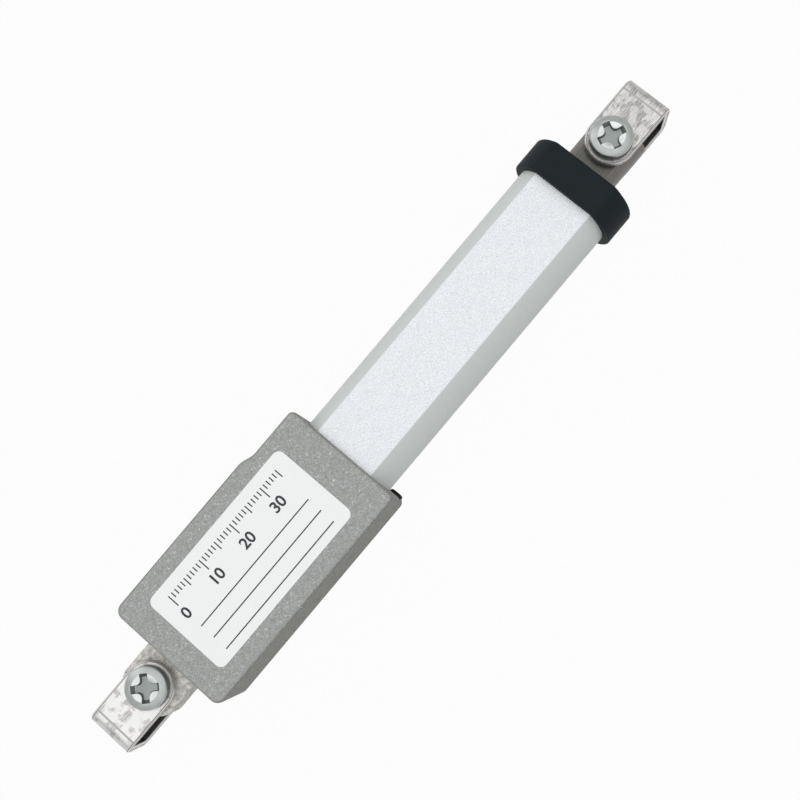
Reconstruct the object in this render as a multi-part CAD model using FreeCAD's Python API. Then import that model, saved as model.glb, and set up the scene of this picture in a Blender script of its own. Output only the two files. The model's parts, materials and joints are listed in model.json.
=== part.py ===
import FreeCAD, Part
import math
import os

# Micro linear actuator, retracted. Lengths are in millimetres.
# X runs along the drive axis from the rear mount to the rod end, Z points up through the label face.
# The origin is the centre of the rear bracket's base hole, on the outer face of that base.

# Travel
stroke = 50.0

# Mounting brackets, bent from sheet
bracket_reach = 13.9
bracket_width = 11.4
bracket_sheet = 1.5
ear_clearance = 0.6
bracket_bend_radius = 1.0
base_hole_diameter = 5.2

# Pivot screws and nuts, M5
pivot_diameter = 5.0
pivot_hole_clearance = 0.2
pivot_head_diameter = 9.5
pivot_head_height = 3.5
pivot_head_rim = 1.2
pivot_nut_across_flats = 8.0
pivot_nut_thickness = 2.7
thread_past_nut = 0.3
thread_fit = 0.1

# Cast housing and its lug
housing_gap = 7.6
housing_wall = 2.4
ceiling_wall = 1.8
collar_wall = 2.0
collar_side_wall = 3.2
corner_radius = 2.2
top_edge_radius = 1.8
bottom_edge_radius = 0.7
bulge_step = 1.1
bulge_blend_length = 3.0
narrow_length = 13.2
lug_width = 13.6
lug_thickness = 9.2
lug_end = 4.6
lug_corner_radius = 3.6
lug_edge_radius = 0.7
rib_thickness = 2.0

# Base cover and its screws
cover_rim = 1.3
cover_clearance = 0.1
boss_diameter = 3.4
boss_inset = 1.4
boss_gap = 0.5
front_boss_setback = 6.0
cover_screw_diameter = 2.2
cover_screw_head = 3.8
cover_screw_length = 7.0

# Label
label_length = 43.0
label_width = 21.6
label_thickness = 0.12
label_corner_radius = 1.7
label_rear_margin = 6.4

# Cable grommet in the front wall
grommet_diameter = 3.4
grommet_neck_diameter = 2.6
grommet_neck_length = 4.0
grommet_bore = 1.6
grommet_flange = 0.7
grommet_angle = 209.0
grommet_tube_gap = 1.1
cable_groove_length = 4.0

# Outer tube, a double-D extrusion
tube_diameter = 23.0
tube_wall = 1.3
tube_insert = 8.2
tube_fit = 0.05
tube_screw_diameter = 2.5
tube_screw_head = 4.4
tube_screw_end_room = 2.4
tube_screw_offset = 4.6
tube_screw_tip_gap = 0.15

# End cap, wiper and guide bush
cap_wall = 1.85
cap_front_wall = 2.4
cap_skirt = 5.5
cap_edge_radius = 0.8
cap_corner_radius = 1.0
wiper_wall = 1.1
wiper_thickness = 1.2
bush_length = 10.0
bush_tube_clearance = 0.1

# Rod and drive nut
rod_diameter = 12.8
rod_across_flats = 9.2
rod_bore_clearance = 0.6
rod_bore_spare = 3.0
rod_end = 4.7
rod_end_chamfer = 0.5
rod_stub = 8.6
slide_clearance = 0.12
nut_length = 6.0
socket_length = 6.0
carriage_clearance = 0.2
carriage_rear_gap = 3.0
carriage_front_gap = 6.0
grub_diameter = 3.0
grub_recess = 0.95
carriage_floor = 0.7
trip_rib_length = 1.0
trip_rib_width = 2.4

# Lead screw and its bearing
screw_diameter = 6.0
nut_thread_clearance = 0.15
journal_diameter = 5.0
shoulder_length = 1.4
bearing_outer_diameter = 13.0
bearing_width = 4.0
bearing_ring_share = 0.3
bearing_ball_share = 0.55
bearing_cage_share = 0.175
ball_count = 7
race_clearance = 0.05
cage_back = 0.4
retainer_thickness = 1.0
retainer_clearance = 0.8
block_flange = 4.2
block_spigot = 6.0
block_wall = 0.85

# Planetary gearbox, two like stages
gear_module = 0.35
sun_teeth = 12
planet_teeth = 15
planet_count = 3
tooth_addendum = 0.8
tooth_dedendum = 1.1
tooth_backlash = 0.1
pressure_angle = math.radians(20.0)
ring_wall = 0.95
first_planet_width = 4.4
second_planet_width = 5.8
carrier_plate = 1.5
gear_side_gap = 0.4
carrier_ring_gap = 0.4
planet_pin_diameter = 1.6
pin_clearance = 0.06
hub_diameter = 7.0
hub_clearance = 0.3
gear_plate_thickness = 1.6

# Motor
motor_diameter = 16.0
motor_length = 24.0
motor_can_wall = 0.8
motor_shaft_diameter = 2.0
motor_bush_diameter = 4.0
motor_bush_recess = 0.6
motor_bush_clearance = 0.05
end_bell_flange = 1.0
end_bell_depth = 3.0
magnet_thickness = 1.6
magnet_rear_gap = 4.1
magnet_front_gap = 1.1
magnet_span = 140.0
armature_gap = 0.3
armature_inset = 0.5
armature_poles = 3
slot_width = 3.4
slot_bridge = 1.6
commutator_diameter = 4.4
commutator_length = 2.2
brush_width = 1.4
brush_length = 1.8
brush_gap = 0.05
terminal_room = 2.0
terminal_width = 2.0
terminal_thickness = 0.5
terminal_offset = 5.0
terminal_end_gap = 0.5
cradle_clearance = 0.05

# Limit switch strip inside the tube
board_width = 9.0
board_thickness = 0.8
board_end_gap = 0.5
switch_length = 3.2
switch_width = 4.0
switch_gap = 0.25
plunger_length = 0.6
plunger_width = 1.2
trip_gap = 0.25
diode_diameter = 0.9
diode_length = 2.8
diode_spacing = 4.0

# Derived sizes across the axis
bracket_gap = max(lug_thickness, rod_across_flats) + 2 * ear_clearance
bracket_height = bracket_gap + 2 * bracket_sheet
pivot_hole = pivot_diameter + pivot_hole_clearance
tube_across_flats = bearing_outer_diameter + 2 * (block_wall + tube_fit + tube_wall)
tube_bore = tube_diameter - 2 * tube_wall
tube_bore_flats = tube_across_flats - 2 * tube_wall
sun_pitch_radius = gear_module * sun_teeth / 2
planet_pitch_radius = gear_module * planet_teeth / 2
planet_orbit = sun_pitch_radius + planet_pitch_radius
ring_teeth = sun_teeth + 2 * planet_teeth
ring_pitch_radius = gear_module * ring_teeth / 2
ring_tip_radius = ring_pitch_radius - tooth_addendum * gear_module
ring_root_radius = ring_pitch_radius + tooth_dedendum * gear_module
ring_outer_diameter = 2 * (ring_root_radius + ring_wall)
carrier_diameter = 2 * (ring_tip_radius - carrier_ring_gap)
drive_height = max(tube_across_flats, ring_outer_diameter, motor_diameter)
boss_line = max(ring_outer_diameter, motor_diameter) / 2 + boss_gap + boss_diameter / 2
half_height = drive_height / 2 + collar_wall
half_width = max(tube_diameter / 2 + collar_side_wall, boss_line + boss_inset + housing_wall)
cover_thickness = collar_wall - cradle_clearance
cover_top = -half_height + cover_thickness
ceiling = half_height - ceiling_wall
cap_diameter = tube_diameter + 2 * cap_wall
cap_across_flats = tube_across_flats + 2 * cap_wall
carriage_diameter = tube_bore - 2 * carriage_clearance
carriage_across_flats = tube_bore_flats - 2 * carriage_clearance
board_top = -tube_bore_flats / 2 + board_thickness
grub_length = carriage_diameter / 2 - rod_diameter / 2 - tube_fit - grub_recess
rod_bore = screw_diameter + 2 * rod_bore_clearance
retainer_bore = hub_diameter + 2 * retainer_clearance
carriage_underside = -rod_across_flats / 2 - tube_fit - carriage_floor
switch_top = carriage_underside - switch_gap
bearing_section = (bearing_outer_diameter - journal_diameter) / 2
bearing_inner_land = journal_diameter + 2 * bearing_ring_share * bearing_section
bearing_outer_land = bearing_outer_diameter - 2 * bearing_ring_share * bearing_section
ball_diameter = bearing_ball_share * bearing_section
ball_orbit = (journal_diameter + bearing_outer_diameter) / 4
race_radius = ball_diameter / 2 + race_clearance
cage_wall = bearing_cage_share * bearing_section

# Derived stations along the axis, from the rear mount to the rod end
rear_pivot = bracket_reach
housing_rear = rear_pivot + housing_gap
motor_rear = housing_rear + housing_wall + terminal_room
motor_front = motor_rear + motor_length
ring_rear = motor_front + gear_plate_thickness
first_carrier_rear = ring_rear + first_planet_width + 2 * gear_side_gap
first_carrier_front = first_carrier_rear + carrier_plate
second_planet_front = first_carrier_front + gear_side_gap + second_planet_width
second_carrier_rear = second_planet_front + gear_side_gap
second_carrier_front = second_carrier_rear + carrier_plate
ring_front = second_carrier_front + gear_side_gap
tube_rear = ring_front + block_flange
housing_front = tube_rear + tube_insert
bearing_front = tube_rear + bearing_width
spigot_front = tube_rear + block_spigot
carriage_rear = spigot_front + carriage_rear_gap
rod_rear = carriage_rear + nut_length
carriage_front = rod_rear + socket_length
bush_rear = carriage_front + stroke + carriage_front_gap
tube_front = bush_rear + bush_length
cap_rear = tube_front - cap_skirt
cap_front = tube_front + cap_front_wall
front_pivot = cap_front + rod_stub
overall_length = front_pivot + bracket_reach
screw_front = carriage_front + stroke
trip_rib_rear = carriage_rear + (nut_length + socket_length - trip_rib_length) / 2

ALONG_X = FreeCAD.Vector(1, 0, 0)
ALONG_Y = FreeCAD.Vector(0, 1, 0)
ALONG_Z = FreeCAD.Vector(0, 0, 1)


def point(x, y, z):
    return FreeCAD.Vector(x, y, z)


def block(x_low, x_high, y_low, y_high, z_low, z_high):
    return Part.makeBox(x_high - x_low, y_high - y_low, z_high - z_low, point(x_low, y_low, z_low))


def bar(x_low, x_high, diameter, y=0.0, z=0.0):
    """A round bar along the drive axis."""
    return Part.makeCylinder(diameter / 2, x_high - x_low, point(x_low, y, z), ALONG_X)


def pin(x, y, z_low, z_high, diameter):
    """An upright round pin."""
    return Part.makeCylinder(diameter / 2, z_high - z_low, point(x, y, z_low), ALONG_Z)


def double_d(x_low, x_high, diameter, across_flats):
    """A round bar along the drive axis with a flat above and below."""
    reach = diameter
    flats = block(x_low, x_high, -reach, reach, -across_flats / 2, across_flats / 2)
    return bar(x_low, x_high, diameter).common(flats)


def edges_along(shape, axis):
    """The straight edges of a shape that run along an axis."""
    chosen = []
    for edge in shape.Edges:
        if edge.Curve.TypeId != "Part::GeomLine":
            continue
        direction = edge.tangentAt(edge.FirstParameter)
        if abs(direction.dot(axis)) > 0.999:
            chosen.append(edge)
    return chosen


def edges_at_level(shape, level):
    """The edges of a shape that lie in the plane z = level."""
    return [edge for edge in shape.Edges
            if abs(edge.BoundBox.ZMin - level) < 1e-6 and abs(edge.BoundBox.ZMax - level) < 1e-6]


def edges_at_station(shape, station):
    """The edges of a shape that lie in the plane x = station."""
    return [edge for edge in shape.Edges
            if abs(edge.BoundBox.XMin - station) < 1e-6 and abs(edge.BoundBox.XMax - station) < 1e-6]


def arc(centre_x, centre_y, radius, start, end, level):
    """A plan-view arc between two angles in degrees."""
    stops = [math.radians(angle) for angle in (start, (start + end) / 2, end)]
    ends = [point(centre_x + radius * math.cos(a), centre_y + radius * math.sin(a), level) for a in stops]
    return Part.Arc(*ends)


def joined_outline(pieces):
    """A closed face from plan-view curves, with straight runs between their ends."""
    edges = []
    for index, piece in enumerate(pieces):
        following = pieces[(index + 1) % len(pieces)]
        edges.append(piece.toShape())
        if piece.EndPoint.distanceToPoint(following.StartPoint) > 1e-6:
            edges.append(Part.LineSegment(piece.EndPoint, following.StartPoint).toShape())
    return Part.Face(Part.Wire(edges))


def revolved(profile, base, axis):
    """A solid turned from a profile of (radius, height) points about an axis."""
    across = ALONG_Y if abs(axis.dot(ALONG_Y)) < 0.5 else ALONG_Z
    corners = [base + across * radius + axis * height for radius, height in profile]
    face = Part.Face(Part.makePolygon(corners + corners[:1]))
    return face.revolve(base, axis, 360)


def involute(angle):
    return math.tan(angle) - angle


def tooth_half_angle(teeth, radius, backlash):
    """Half the angle that an involute tooth takes up at a radius."""
    pitch_radius = gear_module * teeth / 2
    base_radius = pitch_radius * math.cos(pressure_angle)
    at_pitch = (math.pi * gear_module / 2 - backlash) / (2 * pitch_radius)
    flank_angle = math.acos(min(1.0, base_radius / radius))
    return at_pitch + involute(pressure_angle) - involute(flank_angle)


def toothed_bar(x_low, x_high, teeth, root_radius, tip_radius, backlash, first_tooth=0.0):
    """A spur gear blank whose flanks pass through the involute at root, pitch and tip."""
    pitch_radius = gear_module * teeth / 2
    flank = [(r, tooth_half_angle(teeth, r, backlash)) for r in (root_radius, pitch_radius, tip_radius)]
    corners = []
    for tooth in range(teeth):
        middle = first_tooth + 2 * math.pi * tooth / teeth
        rising = [(r, middle - half) for r, half in flank]
        falling = [(r, middle + half) for r, half in reversed(flank)]
        for radius, angle in rising + falling:
            corners.append(point(x_low, radius * math.cos(angle), radius * math.sin(angle)))
    outline = Part.makePolygon(corners + corners[:1])
    return Part.Face(outline).extrude(ALONG_X * (x_high - x_low))


def outer_gear(x_low, x_high, teeth, first_tooth=0.0):
    pitch_radius = gear_module * teeth / 2
    root_radius = pitch_radius - tooth_dedendum * gear_module
    tip_radius = pitch_radius + tooth_addendum * gear_module
    return toothed_bar(x_low, x_high, teeth, root_radius, tip_radius, tooth_backlash, first_tooth)


def planet_angles():
    """Even places round the sun, each at an angle where its teeth can mesh."""
    places = sun_teeth + ring_teeth
    return [2 * math.pi / places * round(places * index / planet_count) for index in range(planet_count)]


def bracket(pivot_x, outward):
    """A U of bent sheet with rounded ears; outward is -1 at the rear end and 1 at the front."""
    outer_bend = bracket_bend_radius + bracket_sheet
    half_height_out = bracket_height / 2
    half_across = bracket_width / 2
    ear_length = bracket_reach + half_across
    solid = block(-half_across, bracket_reach, -half_across, half_across, -half_height_out, half_height_out)
    end_edges = [e for e in edges_along(solid, ALONG_Y) if e.BoundBox.XMin > bracket_reach - 1e-6]
    solid = solid.makeFillet(outer_bend, end_edges)
    gap = block(-ear_length, bracket_reach - bracket_sheet, -half_across, half_across,
                -bracket_gap / 2, bracket_gap / 2)
    gap_edges = [e for e in edges_along(gap, ALONG_Y) if e.BoundBox.XMin > 0]
    solid = solid.cut(gap.makeFillet(bracket_bend_radius, gap_edges))
    ears = block(0, bracket_reach, -half_across, half_across, -half_height_out, half_height_out)
    ears = ears.fuse(pin(0, 0, -half_height_out, half_height_out, bracket_width))
    solid = solid.common(ears)
    solid = solid.cut(pin(0, 0, -bracket_height, bracket_height, pivot_hole))
    solid = solid.cut(bar(0, 2 * bracket_reach, base_hole_diameter))
    solid = solid.removeSplitter()
    if outward < 0:
        solid.rotate(point(0, 0, 0), ALONG_Z, 180)
    solid.translate(point(pivot_x, 0, 0))
    return solid


def pivot_screw(pivot_x):
    """A pan-head screw, head up, dropped through both ears."""
    under_head = bracket_height / 2
    shank_end = -bracket_height / 2 - pivot_nut_thickness - thread_past_nut
    shank = pin(pivot_x, 0, shank_end, under_head, pivot_diameter)
    rim = pivot_head_diameter / 2
    rise = pivot_head_height - pivot_head_rim
    crown_radius = (rim ** 2 + rise ** 2) / (2 * rise)
    crown_centre = under_head + pivot_head_height - crown_radius
    head = pin(pivot_x, 0, under_head, under_head + pivot_head_height, pivot_head_diameter)
    crown = Part.makeSphere(crown_radius, point(pivot_x, 0, crown_centre))
    return shank.fuse(head.common(crown)).removeSplitter()


def pivot_nut(pivot_x):
    """A thin hexagon nut under the lower ear."""
    top = -bracket_height / 2
    corner = pivot_nut_across_flats / math.sqrt(3)
    corners = []
    for index in range(7):
        angle = math.radians(60 * index)
        corners.append(point(pivot_x + corner * math.cos(angle), corner * math.sin(angle),
                             top - pivot_nut_thickness))
    nut = Part.Face(Part.makePolygon(corners)).extrude(ALONG_Z * pivot_nut_thickness)
    bore = pin(pivot_x, 0, top - 2 * pivot_nut_thickness, top + 1, pivot_diameter + thread_fit)
    return nut.cut(bore)


def casting_block():
    """The outside of the cast housing: a rounded block with a long bulge down its left side."""
    low = -half_height
    step_front = housing_front - narrow_length
    step_rear = step_front - bulge_blend_length
    left = half_width + bulge_step
    blend = (bulge_blend_length ** 2 + bulge_step ** 2) / (4 * bulge_step)
    turn = math.degrees(math.asin(bulge_blend_length / 2 / blend))
    front = housing_front - corner_radius
    rear = housing_rear + corner_radius
    curves = [
        arc(front, -half_width + corner_radius, corner_radius, -90, 0, low),
        arc(front, half_width - corner_radius, corner_radius, 0, 90, low),
        arc(step_front, half_width + blend, blend, -90, -90 - turn, low),
        arc(step_rear, left - blend, blend, 90 - turn, 90, low),
        arc(rear, left - corner_radius, corner_radius, 90, 180, low),
        arc(rear, -half_width + corner_radius, corner_radius, 180, 270, low),
    ]
    solid = joined_outline(curves).extrude(ALONG_Z * 2 * half_height)
    top_radius = min(top_edge_radius, 0.9 * corner_radius, 0.9 * blend)
    solid = solid.makeFillet(top_radius, edges_at_level(solid, half_height))
    return solid.makeFillet(bottom_edge_radius, edges_at_level(solid, -half_height))


def lug():
    """The eye cast on the rear wall."""
    end = rear_pivot - lug_end
    solid = block(end, housing_rear + housing_wall / 2, -lug_width / 2, lug_width / 2,
                  -lug_thickness / 2, lug_thickness / 2)
    corners = [e for e in edges_along(solid, ALONG_Z) if e.BoundBox.XMax < rear_pivot]
    solid = solid.makeFillet(lug_corner_radius, corners)
    rims = edges_at_level(solid, lug_thickness / 2) + edges_at_level(solid, -lug_thickness / 2)
    rims = [e for e in rims if e.BoundBox.XMin < housing_rear]
    return solid.makeFillet(lug_edge_radius, rims)


def cavity_span():
    """The rear, front and half width of the room inside the housing."""
    return housing_rear + housing_wall, ring_front, half_width - housing_wall


def boss_places():
    rear, front, half = cavity_span()
    across = half - boss_inset
    return [(x, y) for x in (rear + boss_inset, front - front_boss_setback) for y in (-across, across)]


def cover_span(clearance):
    """The rear, front and half width of the base cover, or of its seat."""
    rear, front, half = cavity_span()
    ledge = housing_wall - cover_rim
    return rear - ledge + clearance, front + ledge - clearance, half + ledge - clearance


def saddle(x_middle, diameter):
    """A rib across the housing with a round seat, open below for assembly."""
    rear, front, half = cavity_span()
    low = x_middle - rib_thickness / 2
    high = x_middle + rib_thickness / 2
    rib = block(low, high, -half, half, cover_top, ceiling)
    seat = diameter + 2 * cradle_clearance
    slot = block(low, high, -seat / 2, seat / 2, cover_top, 0)
    return rib.cut(slot).cut(bar(low, high, seat))


def grommet_place():
    """Centre of the cable hole: beside the tube, low on the right-hand side."""
    distance = tube_diameter / 2 + grommet_tube_gap + grommet_diameter / 2
    angle = math.radians(grommet_angle)
    return distance * math.cos(angle), distance * math.sin(angle)


def tube_screw_places():
    middle = tube_rear + tube_screw_end_room
    return [(middle, -tube_screw_offset), (middle, tube_screw_offset)]


def countersunk(x, y, level, diameter, head, length, clearance=0.0):
    """A countersunk screw driven upwards, its head flush with a level."""
    thread = diameter / 2 + clearance
    rim = head / 2 + clearance
    profile = [(0, 0), (rim, 0), (thread, rim - thread), (thread, length), (0, length)]
    return revolved(profile, point(x, y, level), ALONG_Z)


def tube_screw_length():
    """Driven in until the tip is just short of the bearing."""
    inner_edge = tube_screw_offset - tube_screw_diameter / 2
    clear_radius = bearing_outer_diameter / 2 + tube_screw_tip_gap
    return half_height - math.sqrt(max(0.0, clear_radius ** 2 - inner_edge ** 2))


def gear_housing():
    """Die-cast tub, open below, with the rear lug and the collar that holds the tube."""
    solid = casting_block().fuse(lug())
    rear, front, half = cavity_span()
    cavity = block(rear, front, -half, half, -half_height, ceiling)
    seat_rear, seat_front, seat_half = cover_span(0.0)
    seat = block(seat_rear, seat_front, -seat_half, seat_half, -half_height, cover_top)
    solid = solid.cut(cavity).cut(seat)
    bosses = [pin(x, y, cover_top, ceiling, boss_diameter) for x, y in boss_places()]
    room = block(rear, front, -half, half, cover_top, ceiling)
    supports = [boss.common(room) for boss in bosses]
    supports.append(saddle((motor_rear + motor_front) / 2, motor_diameter))
    supports.append(saddle((ring_rear + ring_front) / 2, ring_outer_diameter))
    solid = solid.fuse(supports)
    holes = [double_d(front, housing_front, tube_diameter + 2 * tube_fit, tube_across_flats + 2 * tube_fit)]
    holes.append(pin(rear_pivot, 0, -lug_thickness, lug_thickness, pivot_hole))
    y, z = grommet_place()
    holes.append(bar(front - cable_groove_length, housing_front, grommet_neck_diameter + 2 * tube_fit, y, z))
    for x, y in boss_places():
        holes.append(pin(x, y, cover_top, -half_height + cover_screw_length, cover_screw_diameter))
    for x, y in tube_screw_places():
        holes.append(countersunk(x, y, -half_height, tube_screw_diameter, tube_screw_head,
                                 tube_screw_length(), tube_fit))
    return solid.cut(holes).removeSplitter()


def base_cover():
    """Flat plate let into the underside, held by four countersunk screws."""
    rear, front, half = cover_span(cover_clearance)
    plate = block(rear, front, -half, half, -half_height, cover_top)
    plate = plate.makeFillet(cover_rim / 2, edges_along(plate, ALONG_Z))
    holes = [countersunk(x, y, -half_height, cover_screw_diameter, cover_screw_head, cover_screw_length,
                         tube_fit) for x, y in boss_places()]
    return plate.cut(holes)


def cover_screws():
    return Part.makeCompound([
        countersunk(x, y, -half_height, cover_screw_diameter, cover_screw_head, cover_screw_length)
        for x, y in boss_places()])


def tube_screws():
    return Part.makeCompound([
        countersunk(x, y, -half_height, tube_screw_diameter, tube_screw_head, tube_screw_length())
        for x, y in tube_screw_places()])


def label_plate():
    """Thin sticker on the top face, centred across it."""
    rear = housing_rear + label_rear_margin
    middle = bulge_step / 2
    sticker = block(rear, rear + label_length, middle - label_width / 2, middle + label_width / 2,
                    half_height, half_height + label_thickness)
    return sticker.makeFillet(label_corner_radius, edges_along(sticker, ALONG_Z))


def cable_grommet():
    """Rubber bush in the cable hole of the front wall."""
    y, z = grommet_place()
    neck_rear = housing_front - grommet_neck_length
    neck = bar(neck_rear, housing_front, grommet_neck_diameter, y, z)
    flange = bar(housing_front, housing_front + grommet_flange, grommet_diameter, y, z)
    flange = flange.makeFillet(grommet_flange / 2, edges_at_station(flange, housing_front + grommet_flange))
    bore = bar(neck_rear, housing_front + grommet_flange, grommet_bore, y, z)
    return neck.fuse(flange).cut(bore).removeSplitter()


def outer_tube():
    """Double-D tube from the housing's collar to the end cap."""
    solid = double_d(tube_rear, tube_front, tube_diameter, tube_across_flats)
    solid = solid.cut(double_d(tube_rear, tube_front, tube_bore, tube_bore_flats))
    holes = [pin(x, y, -half_height, -tube_bore_flats / 2 + tube_wall, tube_screw_diameter + 2 * tube_fit)
             for x, y in tube_screw_places()]
    return solid.cut(holes)


def end_cap():
    """Moulded cap over the front of the tube, open for the rod."""
    solid = double_d(cap_rear, cap_front, cap_diameter, cap_across_flats)
    solid = solid.makeFillet(cap_corner_radius, edges_along(solid, ALONG_X))
    solid = solid.makeFillet(cap_edge_radius, edges_at_station(solid, cap_front))
    solid = solid.cut(double_d(cap_rear, tube_front, tube_diameter + 2 * tube_fit,
                               tube_across_flats + 2 * tube_fit))
    opening = 2 * (wiper_wall + slide_clearance)
    wiper_seat = double_d(cap_front - wiper_thickness, cap_front, rod_diameter + opening,
                          rod_across_flats + opening)
    running = 2 * slide_clearance
    rod_hole = double_d(tube_front, cap_front, rod_diameter + 2 * running, rod_across_flats + 2 * running)
    return solid.cut([wiper_seat, rod_hole]).removeSplitter()


def rod_sleeve(x_low, x_high, diameter, across_flats):
    """A double-D ring that the rod slides in."""
    running = 2 * slide_clearance
    hole = double_d(x_low, x_high, rod_diameter + running, rod_across_flats + running)
    return double_d(x_low, x_high, diameter, across_flats).cut(hole)


def rod_wiper():
    outside = 2 * (wiper_wall + slide_clearance)
    return rod_sleeve(cap_front - wiper_thickness, cap_front, rod_diameter + outside,
                      rod_across_flats + outside)


def guide_bush():
    """Bearing bush inside the front of the tube."""
    outside = 2 * bush_tube_clearance
    return rod_sleeve(bush_rear, tube_front, tube_bore - outside, tube_bore_flats - outside)


def rod_tube():
    """The sliding rod: bored from behind for the lead screw, with a cross hole at its eye."""
    tip = front_pivot + rod_end
    solid = double_d(rod_rear, tip, rod_diameter, rod_across_flats)
    solid = solid.makeChamfer(rod_end_chamfer, edges_at_station(solid, tip))
    bore = bar(rod_rear, screw_front + rod_bore_spare, rod_bore)
    eye = pin(front_pivot, 0, -rod_diameter, rod_diameter, pivot_hole)
    return solid.cut([bore, eye])


def drive_nut():
    """Nut and carriage in one moulding: it rides the screw and pushes the rod."""
    solid = double_d(carriage_rear, carriage_front, carriage_diameter, carriage_across_flats)
    socket = double_d(rod_rear, carriage_front, rod_diameter + 2 * tube_fit, rod_across_flats + 2 * tube_fit)
    thread = bar(carriage_rear, rod_rear, screw_diameter + 2 * nut_thread_clearance)
    channel_half = board_width / 2 + carriage_clearance
    channel = block(carriage_rear, carriage_front, -channel_half, channel_half,
                    -carriage_diameter, carriage_underside)
    solid = solid.cut([socket, thread, channel])
    rib = block(trip_rib_rear, trip_rib_rear + trip_rib_length, -trip_rib_width / 2, trip_rib_width / 2,
                board_top + carriage_clearance, carriage_underside)
    solid = solid.fuse(rib)
    holes = [grub(side, grub_diameter + 2 * tube_fit, carriage_diameter / 2) for side in (-1, 1)]
    return solid.cut(holes).removeSplitter()


def grub(side, diameter, length):
    """A grub screw, or its hole, that grips the rod from one side of the carriage."""
    start = point(rod_rear + socket_length / 2, side * (rod_diameter / 2 + tube_fit), 0)
    return Part.makeCylinder(diameter / 2, length, start, ALONG_Y * side)


def nut_grub_screws():
    return Part.makeCompound([grub(side, grub_diameter, grub_length) for side in (-1, 1)])


def lead_screw():
    """Screw with a plain journal for the bearing and the gearbox hub."""
    journal = bar(second_carrier_rear, bearing_front, journal_diameter)
    shoulder = bar(bearing_front, bearing_front + shoulder_length, hub_diameter)
    thread = bar(bearing_front + shoulder_length, screw_front, screw_diameter)
    return journal.fuse([shoulder, thread]).removeSplitter()


def race(solid):
    """Cut the ball groove into a bearing ring."""
    groove = Part.makeTorus(ball_orbit, race_radius, point(tube_rear + bearing_width / 2, 0, 0), ALONG_X)
    return solid.cut(groove)


def bearing_outer_ring():
    ring = bar(tube_rear, bearing_front, bearing_outer_diameter)
    return race(ring.cut(bar(tube_rear, bearing_front, bearing_outer_land)))


def bearing_inner_ring():
    ring = bar(tube_rear, bearing_front, bearing_inner_land)
    return race(ring.cut(bar(tube_rear, bearing_front, journal_diameter)))


def ball_centres():
    middle = tube_rear + bearing_width / 2
    angles = [2 * math.pi * index / ball_count for index in range(ball_count)]
    return [point(middle, ball_orbit * math.cos(a), ball_orbit * math.sin(a)) for a in angles]


def bearing_balls():
    return Part.makeCompound([Part.makeSphere(ball_diameter / 2, centre) for centre in ball_centres()])


def ball_cage():
    """Crown cage: a ring beside the balls, with fingers that leave a round pocket for each ball."""
    middle = tube_rear + bearing_width / 2
    low = middle - cage_wall / 2
    high = middle + race_radius + cage_back
    ring = bar(low, high, 2 * ball_orbit + cage_wall).cut(bar(low, high, 2 * ball_orbit - cage_wall))
    pockets = []
    for centre in ball_centres():
        outward = point(0, centre.y, centre.z).normalize()
        pockets.append(Part.makeCylinder(race_radius, 2 * cage_wall, centre - outward * cage_wall, outward))
    return ring.cut(pockets)


def bearing_block():
    """Block that closes the gearbox, seats the bearing and plugs the rear of the tube."""
    flange = double_d(ring_front, tube_rear, tube_diameter, tube_across_flats)
    spigot = double_d(tube_rear, spigot_front, tube_bore - 2 * tube_fit, tube_bore_flats - 2 * tube_fit)
    solid = flange.fuse(spigot)
    hub_hole = bar(ring_front, tube_rear, hub_diameter + 2 * hub_clearance)
    seat = bar(tube_rear, spigot_front, bearing_outer_diameter)
    holes = [pin(x, y, -tube_across_flats, -half_height + tube_screw_length(), tube_screw_diameter)
             for x, y in tube_screw_places()]
    return solid.cut([hub_hole, seat] + holes).removeSplitter()


def bearing_retainer():
    """Ring pressed in ahead of the bearing."""
    end = bearing_front + retainer_thickness
    return bar(bearing_front, end, bearing_outer_diameter).cut(bar(bearing_front, end, retainer_bore))


def ring_gear():
    """Internal gear that serves both stages and is the gearbox's body."""
    body = bar(ring_rear, ring_front, ring_outer_diameter)
    spaces = toothed_bar(ring_rear, ring_front, ring_teeth, ring_tip_radius, ring_root_radius, -tooth_backlash)
    return body.cut(spaces)


def gear_plate():
    """Plate between the motor and the gearbox."""
    plate = bar(motor_front, ring_rear, ring_outer_diameter)
    return plate.cut(bar(motor_front, ring_rear, motor_bush_diameter + 2 * hub_clearance))


def sun_turn():
    """The angle of a sun's first tooth, which meets a gap of the first planet."""
    return 0.0 if planet_teeth % 2 else math.pi / sun_teeth


def first_sun():
    """Pinion on the motor shaft."""
    start = ring_rear + gear_side_gap
    end = start + first_planet_width
    return outer_gear(start, end, sun_teeth, sun_turn()).cut(bar(start, end, motor_shaft_diameter))


def planet(x_low, width, angle):
    """A planet gear, turned until it meshes with the ring."""
    first_tooth = angle - angle * ring_teeth / planet_teeth
    gear = outer_gear(x_low, x_low + width, planet_teeth, first_tooth)
    gear = gear.cut(bar(x_low, x_low + width, planet_pin_diameter + 2 * pin_clearance))
    gear.translate(point(0, planet_orbit * math.cos(angle), planet_orbit * math.sin(angle)))
    return gear


def carrier_pins(x_low, x_high):
    pins = []
    for angle in planet_angles():
        y = planet_orbit * math.cos(angle)
        z = planet_orbit * math.sin(angle)
        pins.append(bar(x_low, x_high, planet_pin_diameter, y, z))
    return pins


def first_carrier():
    """First stage output: the plate and the second sun in one piece."""
    plate = bar(first_carrier_rear, first_carrier_front, carrier_diameter)
    plate = plate.cut(carrier_pins(first_carrier_rear, first_carrier_front))
    sun = outer_gear(first_carrier_front, second_planet_front, sun_teeth, sun_turn())
    return plate.fuse(sun).removeSplitter()


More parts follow.
